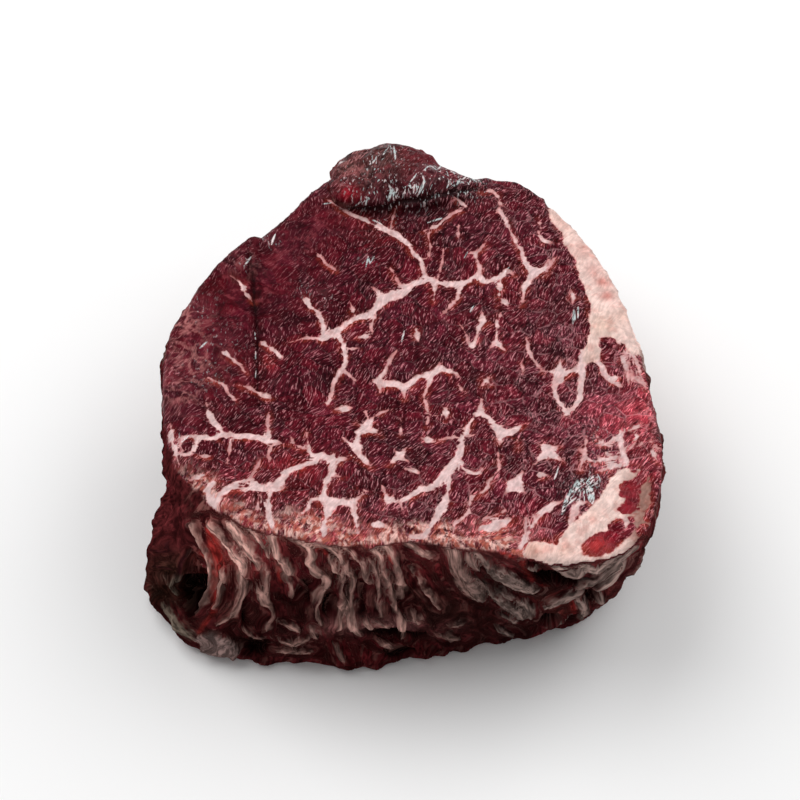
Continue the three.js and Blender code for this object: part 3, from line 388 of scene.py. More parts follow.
# Muscle tints: x, y (or x, z on the wall), reach, colour and strength
MEAT = (0.125, 0.0225, 0.0285)
WALL_MEAT = (.1, .024, .024)
HIDDEN_MEAT = (.1, .02, .022)
RED_MUSCLE = (.36, .05, .04)
DEEPER = (.78, .52, .58)
# Painted shade: the shown wall's muscle darker towards the foot
LOW_WALL_SHADE = 0.45
HIDDEN_DARKER = 0.3
FACE_TINTS = [
    (-33, 6, 9, (.092, .003, .011), .9), (-34, -6, 7, (.096, .009, .015), .75),
    (-38.5, -6, 4, (.2, .07, .065), .55), (-37, 8, 4, (.2, .065, .06), .5),
    (-34, 13, 3.5, (.15, .008, .016), .8), (-20, 8, 8, (.1, .013, .02), .6),
    (-12, 22, 10, (.086, .008, .014), .65), (-14, -8, 9, (.105, .012, .019), .55),
    (2, 2, 9, (.115, .026, .033), .5), (-8, 14, 7, (.098, .013, .02), .6), (8, 30, 8, (.08, .03, .026), .6),
    (-4, 41, 6, (.082, .06, .026), .8), (-5, 34.5, 4, (.07, .008, .012), .8),
    (-10, 39, 4, (.1, .075, .04), .85), (1, 40, 2.2, (.2, .05, .03), .6),
    (-9.6, 33.2, 1.6, (.7, .03, .06), .9), (8.2, 38.6, 2, (.24, .015, .02), .7),
    (4, 34, 6, (.075, .02, .022), .6), (3, 42, 4, (.2, .055, .045), .6), (26, 2, 9, (.13, .048, .045), .6),
    (30, -14, 8, (.15, .06, .055), .5), (36.5, -14, 6, (.46, .15, .13), .65),
    (41.5, -14, 3.5, (.58, .19, .15), .85), (41, -24, 4, (.44, .12, .1), .75),
    (6, 27, 7, (.075, .018, .02), .55), (-20, -26, 6, (.19, .032, .032), .5),
    (4, -27, 9, (.16, .036, .04), .45), (33.5, -24.6, 2.2, (.5, .26, .24), .6),
    (28.5, -31.5, 2, (.4, .22, .22), .5), (41.5, -6, 3, (.42, .12, .1), .7),
    (35.5, -3, 3.5, (.14, .03, .03), .7), (39.6, -3, 2.4, (.2, .05, .045), .6),
    (-30, -25, 6, (.15, .026, .028), .5), (-20, -32, 6, (.23, .05, .04), .45),
    (-28, -31.5, 4, (.3, .08, .05), .5), (-10, -36, 5, (.3, .11, .085), .55),
    (0, -36, 5, (.24, .08, .07), .5), (14, -38.5, 4, (.5, .2, .13), .8), (20, -38, 3, (.5, .2, .14), .6),
    (-31, -32, 2.5, (.4, .14, .11), .6), (-24, -35.5, 2.5, (.42, .15, .11), .6),
    (-17, -37.5, 2.5, (.45, .16, .115), .75), (-11, -38.6, 2.5, (.48, .17, .12), .75),
    (-5, -38.6, 2.5, (.48, .19, .13), .75), (2, -39, 2, (.4, .14, .12), .6),
    (-23.4, -3.6, 1.6, (.4, .1, .06), .7), (-8.4, 27.4, 3, (.2, .02, .02), .5),
    (-5, 24, 3, (.13, .035, .018), .5), (-17.6, -24.6, 2.6, (.3, .06, .035), .5),
    (31.6, -40.3, 2.6, (.5, .12, .07), .9), (37.2, -29.5, 2.6, (.4, .07, .06), .85),
    (36.6, -32.9, 1.6, (.3, .02, .03), .9), (34.6, -37.6, 2.4, (.26, .006, .02), .95),
    (38.4, -36, 2.4, (.34, .09, .08), .6),
]
WALL_TINTS = [
    (-27, 40, 2.2, (.4, .16, .13), .6), (-20, 40.5, 2, (.36, .12, .1), .6), (-14, 40.5, 2, (.4, .13, .1), .7),
    (-8, 41, 2, (.4, .14, .1), .7), (-2, 40.6, 2, (.36, .13, .1), .7), (-11.5, 10.5, 2.6, (.5, .29, .25), .8),
    (-7.5, 10.8, 2.6, (.55, .32, .28), .8), (-3.5, 11, 2.6, (.5, .3, .26), .8),
    (.6, 11.4, 2.6, (.36, .22, .2), .8), (5, 9, 3, (.26, .11, .1), .6), (-19, 6, 3.4, (.3, .11, .1), .6),
    (9, 11, 2.4, (.24, .13, .12), .5), (-39.5, 30, 4, (.05, .04, .022), .85),
    (-41, 22, 4, (.045, .035, .02), .85), (-36, 33, 2.5, (.07, .035, .025), .5),
    (-31.2, 33, 2.4, (.42, .045, .035), .9), (-31.4, 27.5, 1.7, (.4, .05, .04), .85),
    (-32.4, 20, 1.4, (.34, .06, .045), .7), (-30, 15.5, 3, (.3, .1, .085), .6),
    (-24.4, 14.5, 2.4, (.26, .07, .065), .6), (-25.6, 27, 5, (.26, .05, .048), .6),
    (-24, 35, 5, (.36, .075, .075), .6), (-18, 28, 3.4, (.16, .018, .028), .6),
    (-39.4, 24, 4, (.08, .035, .024), .7), (-40.5, 34, 4, (.06, .03, .022), .6),
    (-10, 1, 6, (.16, .02, .024), .7), (0, 4, 4, (.15, .02, .024), .6), (8, 15, 6, (.09, .045, .034), .6),
    (17, 10, 6, (.085, .032, .028), .6), (24, 21, 3, (.12, .035, .026), .6),
    (28, 15.5, 3, (.26, .08, .06), .6), (34.8, 23, 2, (.36, .1, .09), .6),
    (4, 30, 3, (.15, .022, .024), .5), (-16, 2, 6, (.12, .03, .028), .5),
]

# Tints of the fat on the face
FAT_TINTS = [
    (34.4, 13.4, 1.1, (.55, .13, .1), .8), (35.2, 10.4, 1.2, (.55, .14, .11), .75),
    (33, 16, 1.6, (.72, .36, .32), .6), (31.5, 20.5, 2.2, (.72, .36, .31), .6),
    (28.4, 27, 2.6, (.66, .36, .3), .6), (34, 4, 2.6, (.7, .46, .36), .6),
    (32, -2.6, 2, (.6, .38, .32), .6), (37.6, 6, 1.6, (.74, .46, .38), .5),
    (36, 15, 1.3, (.8, .58, .52), .6), (21, -41, 2.2, (.66, .3, .22), .6),
    (26, -41, 1.6, (.7, .38, .3), .5), (31, -34.5, 1.4, (.78, .46, .38), .4),
]

# Smoother skin on the face: x, y, reach and how much of the grain is missing
SMOOTHER = [(-34, 5, 9, .8), (-33, -6, 6, .6), (-27, 14, 6, .7), (-20, 22, 6, .6), (-14, 27, 5, .5),
            (-6, 36, 6, .7), (4, 40, 6, .6), (-38.5, -12, 4, .5), (-20, 9, 6, .35), (32.2, -39.7, 4, .85),
            (37.2, -29.5, 2.6, .7), (36.6, -33, 2, .8), (30.7, -30.5, 1.2, .8)]

# More or less fine marbling on the face than around it: x, y, reach and strength
FINER = [(33, -13, 9, .55), (38, -20, 7, .4), (-38, -4, 5, .3), (28, -30, 5, .35), (12, -38, 6, .3),
         (-12, 16, 10, -.2), (-14, -6, 8, -.15), (5, 28, 8, -.3), (27, -31, 6, .35)]

# Wrinkled pale skin near the rim, and damp places with fine painted highlights (glints): x, y, reach and
# strength
WRINKLES = [(-38.5, 5, 4, 1), (-36, -3, 4, .8), (-37.5, -10, 3.5, .7), (-28, 17, 3, .4), (-9, 39, 5, .6),
            (40, -15, 3.5, .4)]
DAMP_GLINTS = [(.1, 32.9, 4, 1), (2.6, 34.5, 3, 1), (-4, 33.4, 3, .8), (4.9, 37, 3, 1), (11.7, 34.8, 3, 1),
        (-9, 37.2, 3, .6), (-9, 31.5, 2.4, .6), (8, 35.4, 2.4, .9), (-3, 42, 3, .7), (-5, 39, 2.4, .6),
        (30, -28.4, 3, .6), (33.5, -25.4, 2.4, .5), (-27.4, 17.3, 1.4, .8), (-23.7, 22.8, 1.6, .7),
        (-6.4, 18.4, 1.6, .5), (-4, 27.6, 2, .6), (-13.8, 9.7, 1.3, .5), (-17.3, 11.8, 1.6, .4),
        (-38.4, -19.4, 1.3, .7), (-34, -6, 4, .3), (-31, 1, 3, .35), (-36, 8, 3, .35), (33, -19, 3, .3)]

# Painted highlights, longer glints on the face: points x, y and the full width there
GLINTS = [
    # front right
    [(26.1, -33.8, .46), (26.5, -32.3, .64), (27.1, -30.5, .57), (27.9, -29.1, .25)],
    [(27.6, -29.5, .21), (28.3, -28.4, .32), (28.7, -27.6, .18)],
    [(28.2, -29.9, .18), (28.9, -28.7, .32), (29.5, -27.4, .18)],
    [(28.9, -31.3, .21), (29.1, -29.7, .18)], [(30.3, -27.8, .18), (30.7, -27.2, .25), (31.2, -26.8, .18)],
    [(30.1, -28.9, .25), (30.8, -28.2, .28), (31.3, -27.4, .18)],
    [(30.4, -29.1, .18), (31.4, -28.4, .21), (32.5, -27.8, .21), (32.2, -26.6, .18)],
    [(25, -27, .25), (25.4, -25.8, .21), (25.6, -25, .14)], [(27.3, -31.9, .25), (28.2, -31.1, .21)],
    [(30.9, -31.2, 1), (30.7, -29.8, 1.2)],
    # beside the slit
    [(-27.8, 17.7, .35), (-27.1, 18.8, .25)], [(-23.4, 21.9, .39), (-22.9, 23.4, .25)],
    [(-25.8, 2.6, .18), (-25.6, 1.6, .18)], [(-25.5, -1.4, .16), (-25.5, -2.6, .2)],
    [(-25.3, -5.1, .18), (-25.4, -6.4, .16)],
    [(-34.9, -.5, .28), (-34.1, .5, .18)], [(-37.2, -19.6, .35), (-36.5, -18.8, .25)],
    # lobe
    [(-12.9, 39.5, .28), (-12, 40, .32), (-11.1, 40.4, .25)], [(-5.9, 39.8, .32), (-5.3, 40.2, .25)],
    [(-3.7, 41.6, .21), (-3, 43.2, .18)], [(-1.9, 43.2, .25), (-1.7, 41.6, .39)],
    [(-2.8, 32, .39), (-2.4, 34, .5), (-2.8, 34.9, .18)], [(-1.5, 32.4, .21), (-1.9, 34.2, .18)],
    [(1.2, 36.1, .21), (1.8, 37, .3)], [(3, 36.8, .25), (3.4, 36, .2)],
    [(2.4, 33.3, .28), (3, 34.7, .46), (3.3, 35.8, .28)],
    [(-.3, 32.4, .18), (.1, 34, .18)], [(1.5, 33.6, .18), (1.7, 34.9, .21)],
    [(3.5, 38.1, .21), (4.6, 39.1, .32), (5.3, 38.4, .18)], [(6, 38.6, .28), (6.4, 39.3, .21)],
    [(9.2, 34.9, .28), (9.8, 36.1, .39)], [(7.6, 34.7, .18), (8, 35.8, .28)],
    [(10.3, 36.3, .18), (10.9, 36.8, .25)],
    [(11.4, 35.4, .18), (12.1, 36.3, .25), (12.6, 35.8, .18)], [(-8.6, 30.6, .18), (-7.9, 31.3, .28)],
    [(-6.9, 30.8, .32), (-6.7, 31.7, .18)], [(-14.2, 30.8, .28), (-13.3, 31.1, .21)],
    # beside the cap
    [(29.1, 4.7, .28), (29.4, 7.1, .35)], [(30, 5.8, .18), (30.1, 7.7, .25)],
    # face
    [(-6.7, 17, .18), (-6.4, 18.6, .25)], [(-5.9, 17.7, .14), (-5.4, 18.8, .14)],
    [(10.6, 19, .14), (11, 19.9, .18)],
    [(11.5, 7.3, .25), (11.9, 8.2, .18)], [(-.4, 1.1, .21), (-.1, 2.6, .25)],
    [(17.6, 15.7, .25), (18.1, 16.4, .21)],
    [(-5.4, 27, .25), (-4.3, 26.3, .21)], [(4.2, 26.6, .18), (6.3, 27.5, .28)],
]

# Fat and silverskin colours
FAT_WHITE = (.78, .55, .54)
FAT_PINK = (.62, .3, .3)
FAT_CREAM = (.88, .64, .58)
FAT_OUTER = (.36, .19, .155)
STRAND_PALE = (.46, .255, .22)
STRAND_GREY = (.215, .17, .152)
STRAND_OLIVE = (.21, .16, .125)
FLAP_GREY = (.2, .13, .12)
SIDE_FAT = tuple(.9 * value for value in FAT_CREAM)
DARK_SKIN = (.05, .011, .013)
GREY_SHARE = 0.7

# The lighter ledge on the wall: x and z of its middle, and its reach
LEDGE_MIDDLE = (-5, 10.5)
LEDGE_REACH = (12, 2.5)

# Casts that the meat, the fat and the film take, colour by colour
FACE_CAST = (.9, .47, .72)
MAUVE_CAST = (.92, 1.6, 1.5)
BLUSH_CAST = (.86, .62, .6)
EDGE_CAST = (.85, .6, .58)
FILM_CAST = (.62, .46, .46)

# Colours of small marks
# Painted light on the muscle rising to a seam, mostly on the seam's front side
SEAM_SLOPE_LIGHT = (.28, .036, .022)
FLUSH = (.24, .04, .052, 1)
# Pale fine marbling, also the painted highlights on the raised fibre ends
MARBLING_AND_HIGHLIGHT = (.8, .42, .44, 1)
CREASE = (.42, .15, .145, 1)
TUFT_RED = (.5, .13, .095, 1)
TUFT_PALE = (.92, .54, .48, 1)
# Painted shade inside the slit and the fold
GROOVE_SHADE = (.012, .0012, .002, 1)
# Painted highlights: colours of the glints
GLINT_COOL = (.56, .64, .64, 1)
GLINT_WARM = (.82, .7, .7, 1)

# Fibres and finish
FIBRE_HEADINGS = (math.radians(-72), math.radians(-47))
ROUGHNESS = (.36, .56)
FACE_SPECULAR = 0.03

# Floor and light, in metres and watts
FLOOR_SIDE = 6.0
LIGHT_TARGET = Vector((0, 0, .02))
LIGHT_SIZE = 0.7
ROOM_LIGHT = 0.38

# The slit and the fold of the solid, with painted shade inside: points x, y and the full width there
SLIT = [(-27, 18.6, .3), (-26.4, 14, .45), (-25.9, 8, .4), (-25.3, 3, .35), (-25.1, -3, .3),
        (-24.9, -8.5, .2)]
FOLD = [(-11, 29.7, .3), (-5, 29.9, .7), (-1, 31, .9), (3, 32, 1.1), (5.5, 32.6, .9), (8.5, 33.4, .7),
        (12.6, 34.2, .3)]


def smooth_line(points, closed=False, parts=3):
    """A line of rows of numbers with more points, on a smooth curve through the given ones."""
    rows = np.array(points, float)
    if len(rows) < 3:
        return rows
    if closed:
        padded = np.vstack([rows[-1:], rows, rows[:2]])
    else:
        padded = np.vstack([2 * rows[0] - rows[1], rows, 2 * rows[-1] - rows[-2]])
    out = []
    for a, b, c, d in zip(padded[:-3], padded[1:-2], padded[2:-1], padded[3:]):
        for t in np.arange(parts) / parts:
            out.append(.5 * (2 * b + (c - a) * t + (2 * a - 5 * b + 4 * c - d) * t * t
                             + (3 * b - a - 3 * c + d) * t ** 3))
    if not closed:
        out.append(rows[-1])
    return np.array(out)


def ease(low, high, value):
    """A smooth step from 0 at low to 1 at high."""
    t = np.clip((value - low) / (high - low), 0, 1)
    return t * t * (3 - 2 * t)


def tapered(line):
    """The line with its ends drawn out to a point."""
    rows = np.array(line, float)
    drawn = [rows]
    for end, inner, place in ((rows[0], rows[1], 0), (rows[-1], rows[-2], 1)):
        heading = (end - inner)[:2]
        heading /= max(np.hypot(*heading), 1e-9)
        tip = np.array([[*(end[:2] + heading * (TIP_LENGTH + TIP_PER_WIDTH * end[2])), TIP_WIDTH]])
        drawn.insert(len(drawn) * place, tip)
    return np.vstack(drawn)


def run_into_rim(line):
    """A strand that starts just under the rim, begun above it."""
    top, below = line[0], line[1]
    if top[1] < UNDER_RIM:
        return line
    rise = RIM_REACH - top[1]
    lean = (top[0] - below[0]) / max(top[1] - below[1], .5)
    return [(top[0] + lean * rise, RIM_REACH, top[2]), *line]


def nearest_line(places, lines):
    """The vector to the nearest widened line, half its width there, and the distance to its middle."""
    count = len(places)
    vector = np.full((count, 2), FAR)
    half = np.zeros(count)
    gap = np.full(count, FAR)
    best = np.full(count, FAR)
    for line in lines:
        rows = smooth_line(tapered(line))
        low = rows[:, :2].min(0) - LINE_REACH
        high = rows[:, :2].max(0) + LINE_REACH
        near_it = np.flatnonzero(((places > low) & (places < high)).all(1))
        for a, b in zip(rows[:-1], rows[1:]):
            along = b[:2] - a[:2]
            offset = places[near_it] - a[:2]
            t = np.clip(offset @ along / max(along @ along, 1e-9), 0, 1)
            to_line = t[:, None] * along - offset
            distance = np.hypot(to_line[:, 0], to_line[:, 1])
            half_here = .5 * (a[2] + (b[2] - a[2]) * t)
            better = distance - half_here < best[near_it]
            hit = near_it[better]
            best[hit] = (distance - half_here)[better]
            vector[hit] = to_line[better]
            half[hit] = half_here[better]
            gap[hit] = distance[better]
    return vector, half, gap


def beyond(places, outline):
    """Distance outside a closed outline, negative inside."""
    rows = smooth_line(outline, closed=True)
    distance = np.full(len(places), 1e9)
    inside = np.zeros(len(places), bool)
    for a, b in zip(rows, np.roll(rows, -1, axis=0)):
        along = b - a
        offset = places - a
        t = np.clip(offset @ along / max(along @ along, 1e-9), 0, 1)
        distance = np.minimum(distance, np.hypot(*(offset - t[:, None] * along).T))
        crosses = (a[1] > places[:, 1]) != (b[1] > places[:, 1])
        rise = np.where(along[1] == 0, 1e-9, along[1])
        inside ^= crosses & (places[:, 0] < a[0] + (places[:, 1] - a[1]) * along[0] / rise)
    return np.where(inside, -distance, distance)


def scatter(cells, seed):
    """Three steady numbers from 0 to 1 for each whole-numbered cell."""
    mixed = cells.astype(np.int64) @ np.array([73856093, 19349663, 83492791]) + seed * 961748927
    out = []
    for k in range(3):
        value = (mixed + k * 668265263) & 0x7fffffff
        value = ((value ^ (value >> 15)) * 2246822519) & 0x7fffffff
        value = ((value ^ (value >> 13)) * 3266489917) & 0x7fffffff
        out.append((value ^ (value >> 16)) / 0x7fffffff)
    return np.stack(out, -1)


def waves(places, seed):
    """Smooth noise between -1 and 1 with features one unit long."""
    base = np.floor(places)
    part = places - base
    part = part * part * (3 - 2 * part)
    total = np.zeros(len(places))
    for corner in np.ndindex(2, 2, 2):
        share = np.prod(np.where(np.array(corner) == 1, part, 1 - part), axis=1)
        total += share * scatter(base + corner, seed)[:, 0]
    return 2 * total - 1


def ridges(noise):
    """Noise turned into sharp ridges where it crosses 0."""
    return 1 - 2 * np.abs(noise)


def pebbles(places, seed):
    """Rounded cells one unit across: 1 in the middle of each, falling to 0 between them."""
    base = np.floor(places)
    first = np.full(len(places), 9.0)
    second = np.full(len(places), 9.0)
    for corner in np.ndindex(3, 3, 3):
        cell = base + np.array(corner) - 1
        distance = np.linalg.norm(cell + scatter(cell, seed) - places, axis=1)
        second = np.minimum(second, np.maximum(first, distance))
        first = np.minimum(first, distance)
    return np.clip((second - first) * 1.6, 0, 1)


def near(places, x, y, reach):
    """1 at a place, falling off smoothly around it."""
    return np.exp(-((places - (x, y)) ** 2).sum(1) / reach ** 2)


def spots(places, rows):
    """Soft round spots added up, given as x, y, reach and strength."""
    return sum(strength * near(places, x, y, reach) for x, y, reach, strength in rows)


def towards(colours, share, goal):
    """Colours mixed with a goal colour by each point's share of it."""
    return colours + share[:, None] * (np.array(goal) - colours)


def tinted(places, base, tints):
    """A base colour with soft round tints on it."""
    colours = np.tile(np.array(base, float), (len(places), 1))
    for x, y, reach, tint, strength in tints:
        colours = towards(colours, strength * near(places, x, y, reach), tint)
    return colours


def seen_on(points, axis, value):
    """Where the line from the photo's viewpoint through each point meets a plane across an axis."""
    rays = points - PHOTO_EYE
    reach = (value - PHOTO_EYE[axis]) / rays[:, axis]
    hit = PHOTO_EYE + rays * reach[:, None]
    return np.delete(hit, axis, 1)


def slanted(points):
    """Points turned about the upright axis in step with their depth, so that upright marks slant."""
    turn = SLANT * (THICKNESS - points[:, 2]) / SLANT_HEIGHT
    c, s = np.cos(turn), np.sin(turn)
    x, y, z = points.T
    return np.stack([x * c - y * s, x * s + y * c, z], -1)


def read(collection, name, width):
    values = np.empty(len(collection) * width, np.float32)
    collection.foreach_get(name, values)
    return values.reshape(-1, width).astype(float)


def remeshed_copy(source):
    """The solid as an even fine mesh, and its points with the facets smoothed away."""
    rough = bpy.data.objects.new("rough_steak", source.data.copy())
    bpy.context.scene.collection.objects.link(rough)
    remesh = rough.modifiers.new("remesh", "REMESH")
    remesh.mode = "VOXEL"
    remesh.voxel_size = VOXEL * MM
    fine = bpy.data.meshes.new_from_object(rough.evaluated_get(bpy.context.evaluated_depsgraph_get()))
    bpy.data.objects.remove(rough)
    points = read(fine.vertices, "co", 3) / MM
    edges = np.empty(len(fine.edges) * 2, np.int64)
    fine.edges.foreach_get("vertices", edges)
    edges = edges.reshape(-1, 2)
    heads = np.concatenate([edges[:, 0], edges[:, 1]])
    tails = np.concatenate([edges[:, 1], edges[:, 0]])
    degree = np.bincount(heads, minlength=len(points))[:, None]
    flat = points[:, 2] < FLAT_BASE
    for turn in range(2 * SETTLE_PASSES):
        mean = np.stack([np.bincount(heads, points[tails, k], len(points)) for k in range(3)], -1) / degree
        step = (SETTLE_IN if turn % 2 == 0 else SETTLE_OUT) * (mean - points)
        step[flat] = 0
        points = points + step
    return fine, points


def write_points(mesh, points):
    mesh.vertices.foreach_set("co", (points * MM).astype(np.float32).ravel())
    mesh.update()


def add_attribute(mesh, name, values):
    """Keeps a number, a vector or, where the name is a colour's, a colour at each point."""
    if values.ndim == 1:
        kind, field = "FLOAT", "value"
    elif name in COLOUR_NAMES:
        kind, field = "FLOAT_COLOR", "color"
        values = np.column_stack([values, np.ones(len(values))])
    else:
        kind, field = "FLOAT_VECTOR", "vector"
    attribute = mesh.attributes.new(name, kind, "POINT")
    attribute.data.foreach_set(field, np.ascontiguousarray(values, np.float32).ravel())


class Steak:
    """The points of the steak, what each belongs to, and the marks near it."""

    def __init__(self, points, normals):
        self.points = points
        self.normals = normals
        self.upright = slanted(points)
        self.find_regions()
        self.find_face_marks()
        self.find_wall_marks()

    def find_regions(self):
        """How far each point belongs to the cut face, the wall that shows, the rest of it and the base."""
        read_at = self.points - READING_SHIFT
        to_eye = PHOTO_EYE - read_at
        to_eye /= np.linalg.norm(to_eye, axis=1)[:, None]
        facing = (self.normals * to_eye).sum(1)
        top = ease(*TOP_LAYER, self.points[:, 2])
        self.face = seen_on(read_at, 2, FACE_PLANE)
        self.front = seen_on(read_at, 1, FRONT_PLANE)
        self.rim = beyond(self.face, RIM)
        ragged_rim = self.rim + .5 * waves(self.points / 1.4, 8)
        on_face = ease(*LEVEL_ENOUGH, self.normals[:, 2]) * top * ease(.25, -.25, ragged_rim)
        self.groove_vector, self.groove_half, self.groove_gap = nearest_line(self.face, [SLIT, FOLD])
        gap_from_above = nearest_line(read_at[:, :2], [SLIT, FOLD])[2]
        self.in_groove = ease(1.5, .9, gap_from_above) * top
        self.on_face = np.maximum(on_face, self.in_groove * ease(-5, -10, self.rim))
        self.on_wall = 1 - self.on_face
        self.on_base = ease(.6, .2, self.points[:, 2])
        self.shown_wall = self.on_wall * ease(-.15, .05, facing) * ease(2, -6, self.points[:, 1])
        self.other_wall = self.on_wall * (1 - self.shown_wall)

    def find_face_marks(self):
        """Seams and solid fat, as the cut face shows them."""
        x, y = self.face.T
        self.seam_vector, half, self.seam_gap = nearest_line(self.face, SEAMS)
        self.seam_half = half * (1 - BACK_SEAMS_THINNER * ease(10, 24, y) * ease(24, 18, x))
        fat_edge = np.minimum(beyond(self.face, FAT_CAP), beyond(self.face, FAT_BAND))
        for middle_x, middle_y, length, width, heading in CHAIN_LOBES:
            c, s = math.cos(math.radians(heading)), math.sin(math.radians(heading))
            across = self.face - (middle_x, middle_y)
            radius = np.hypot((across @ (c, s)) / length, (across @ (-s, c)) / width) * 2
            fat_edge = np.maximum(fat_edge, (1 - radius) * min(length, width) / 2)
        self.fat_edge = fat_edge
        distance = np.maximum(np.hypot(*self.seam_vector.T), self.seam_gap)
        self.seam_edge = np.minimum(distance - self.seam_half, fat_edge)
        self.grainy = np.clip(1 - spots(self.face, SMOOTHER), .1, 1)

    def find_wall_marks(self):
        """Strands, red strips and pockets, as the front of the wall shows them, and torn folds elsewhere."""
        strands = [run_into_rim(line) for line in STRANDS]
        self.strand_vector, self.strand_half, self.strand_gap = nearest_line(self.front, strands)
        self.flap_edge = beyond(self.front, FLAP)
        self.strand_edge = np.minimum(self.strand_gap - self.strand_half, self.flap_edge)
        _, half, gap = nearest_line(self.front, [run_into_rim(line) for line in RED_STRIPS])
        self.red = ease(.35, -.3, gap - half)
        self.pocket_shade = np.zeros(len(self.points))
        self.pocket_depth = np.zeros(len(self.points))
        for outline, depth in POCKETS:
            inside = ease(.5, -1, beyond(self.front, outline))
            self.pocket_shade = np.maximum(self.pocket_shade, inside)
            self.pocket_depth = np.maximum(self.pocket_depth, inside * depth)
        self.folds = ridges(waves(self.upright / (3.6, 3.6, 16), 21)
                            + .35 * waves(self.upright / (1.9, 1.9, 8), 22))

    def face_relief(self):
        """Height of the muscle puffed between the seams, of its bundles, of the fat and of the lobe."""
        x, y = self.face.T
        z = self.points[:, 2]
        along_fibres = np.column_stack([x * .5 + y * .87, (y * .5 - x * .87) * .5, z * .1])
        bundles = pebbles(along_fibres / BUNDLE_SIZE, 3) - .5
        lumps = pebbles(np.column_stack([x, y, z * .2]) / LUMP_SIZE, 5) - .5
        swell = 1 - np.exp(-np.clip(self.seam_edge, 0, None) / SWELL_REACH)
        in_fat = ease(.2, -.8, self.fat_edge)
        muscle = (BUNDLE_HEIGHT * bundles + LUMP_HEIGHT * lumps * swell) * self.grainy
        fat = FAT_HEIGHT + .09 * waves(self.points / 1.6, 11)
        lift = (SWELL_HEIGHT * swell + (1 - in_fat) * muscle + in_fat * fat
                + .12 * waves(self.points / 4.5, 12))
        lift -= GROOVE_DEPTH * ease(.9, .1, self.groove_gap)
        on_lobe = np.exp(-(((self.face - LOBE_MIDDLE) / LOBE_REACH) ** 2).sum(1))
        lift += on_lobe * (1.3 * waves(self.points / 3.2, 13) + .7 * waves(self.points / 1.5, 14))
        return lift * ease(0, -1.2, self.rim)

    def wall_relief(self):
        """Height of the strands and torn folds, and depth of the grooves and pockets."""
        threads = ridges(waves(self.upright / (1.1, 1.1, 6), 23))
        level = ridges(waves(self.points / (7, 7, 1.5), 24))
        near_foot = ease(9, 4, self.points[:, 2])
        strands = STRAND_HEIGHT * ease(.45, -.25, self.strand_edge) - STRAND_GROOVE
        lift = (self.shown_wall * (strands - POCKET_SHARE * self.pocket_depth)
                + (1 - near_foot) * (FOLD_HEIGHT * self.other_wall * self.folds + .2 * threads)
                + near_foot * .4 * level
                + .3 * waves(self.points / 2.6, 25) + .12 * waves(self.points / 1.1, 26))
        lift *= 1 - .9 * self.shown_wall * ease(2, .2, self.rim)
        torn = np.maximum(self.other_wall, ease(-33, -37, self.points[:, 0]))
        return lift + TORN_HEIGHT * torn * waves(self.points / (2.4, 2.4, 5), 17)

    def take_relief(self):
        lift = self.on_face * self.face_relief() + self.on_wall * self.wall_relief()
        self.points = self.points + self.normals * (lift * (1 - self.on_base))[:, None]
        self.points[:, 2] = np.maximum(self.points[:, 2], 0)

    def meat_colours(self):
        wall = towards(tinted(self.front, WALL_MEAT, WALL_TINTS), self.red, RED_MUSCLE)
        meat = (self.on_face[:, None] * tinted(self.face, MEAT, FACE_TINTS) + self.shown_wall[:, None] * wall
                + self.other_wall[:, None] * np.array(HIDDEN_MEAT))
        # Painted shade: the shown wall darker towards the foot
        low_wall_shade = self.shown_wall * ease(34, 22, self.front[:, 1])
        meat *= np.array(DEEPER) * (1 - LOW_WALL_SHADE * low_wall_shade)[:, None]
        # Painted shade in the slit, the fold and the pockets of the wall
        groove = self.on_face * self.in_groove * ease(2, .4, self.groove_gap)
        recess_shade = np.clip(.5 * groove + self.shown_wall * self.pocket_shade, 0, 1)
        return meat * (1 - .9 * recess_shade)[:, None]

    def face_fat_colours(self):
        """Seams are pinker where they are thin, and solid fat has its own tints."""
        x, y = self.face.T
        pale = towards(np.tile(FAT_WHITE, (len(x), 1)), ease(.75, .3, self.seam_half * 2), FAT_PINK)
        in_solid_fat = ease(.3, -.3, self.fat_edge)
        for goal in (FAT_CREAM, tinted(self.face, FAT_CREAM, FAT_TINTS)):
            pale = towards(pale, in_solid_fat, goal)
        return towards(pale, ease(35, 39, x) * ease(-24, -28, y), FAT_OUTER)

    def strand_colours(self):
        """Strands are pink at the left and middle, grey at the right, and lighter near the rim: painted
        light, darker towards the foot.
        """
        x, z = self.front.T
        pale = towards(np.tile(STRAND_PALE, (len(x), 1)), GREY_SHARE * ease(6, 16, x), STRAND_GREY)
        pale = towards(pale, ease(-34.5, -37.5, x), STRAND_OLIVE)
        # Painted light: lighter towards the rim and darker towards the foot, with lighter and darker places
        # as given
        light = (.6 + .36 * ease(8, 34, z) + .1 * ease(35, 40, z)
                 + .5 * ease(-18, -24, x) * ease(24, 31, z)
                 + .5 * np.exp(-((self.front - LEDGE_MIDDLE) / LEDGE_REACH) ** 2).prod(1))
        light *= (1 - .35 * ease(5, 7, x) * ease(17, 14, x)) * (1 + .25 * ease(15, 19, x))
        pale = pale * light[:, None]
        pale = towards(pale, ease(-33.5, -36, x) * ease(25, 30, z), DARK_SKIN)
        return towards(pale, ease(.3, -.3, self.flap_edge), FLAP_GREY)

    def side_fat(self):
        """How far the cap's fat covers the wall below it."""
        angle = np.degrees(np.arctan2(self.points[:, 1], self.points[:, 0]))
        below_cap = ease(-8, 4, angle) * ease(56, 44, angle)
        broken = ease(-.75, -.2, waves(self.points / (6, 6, 9), 31))
        return self.other_wall * below_cap * ease(2, 14, self.points[:, 2]) * broken

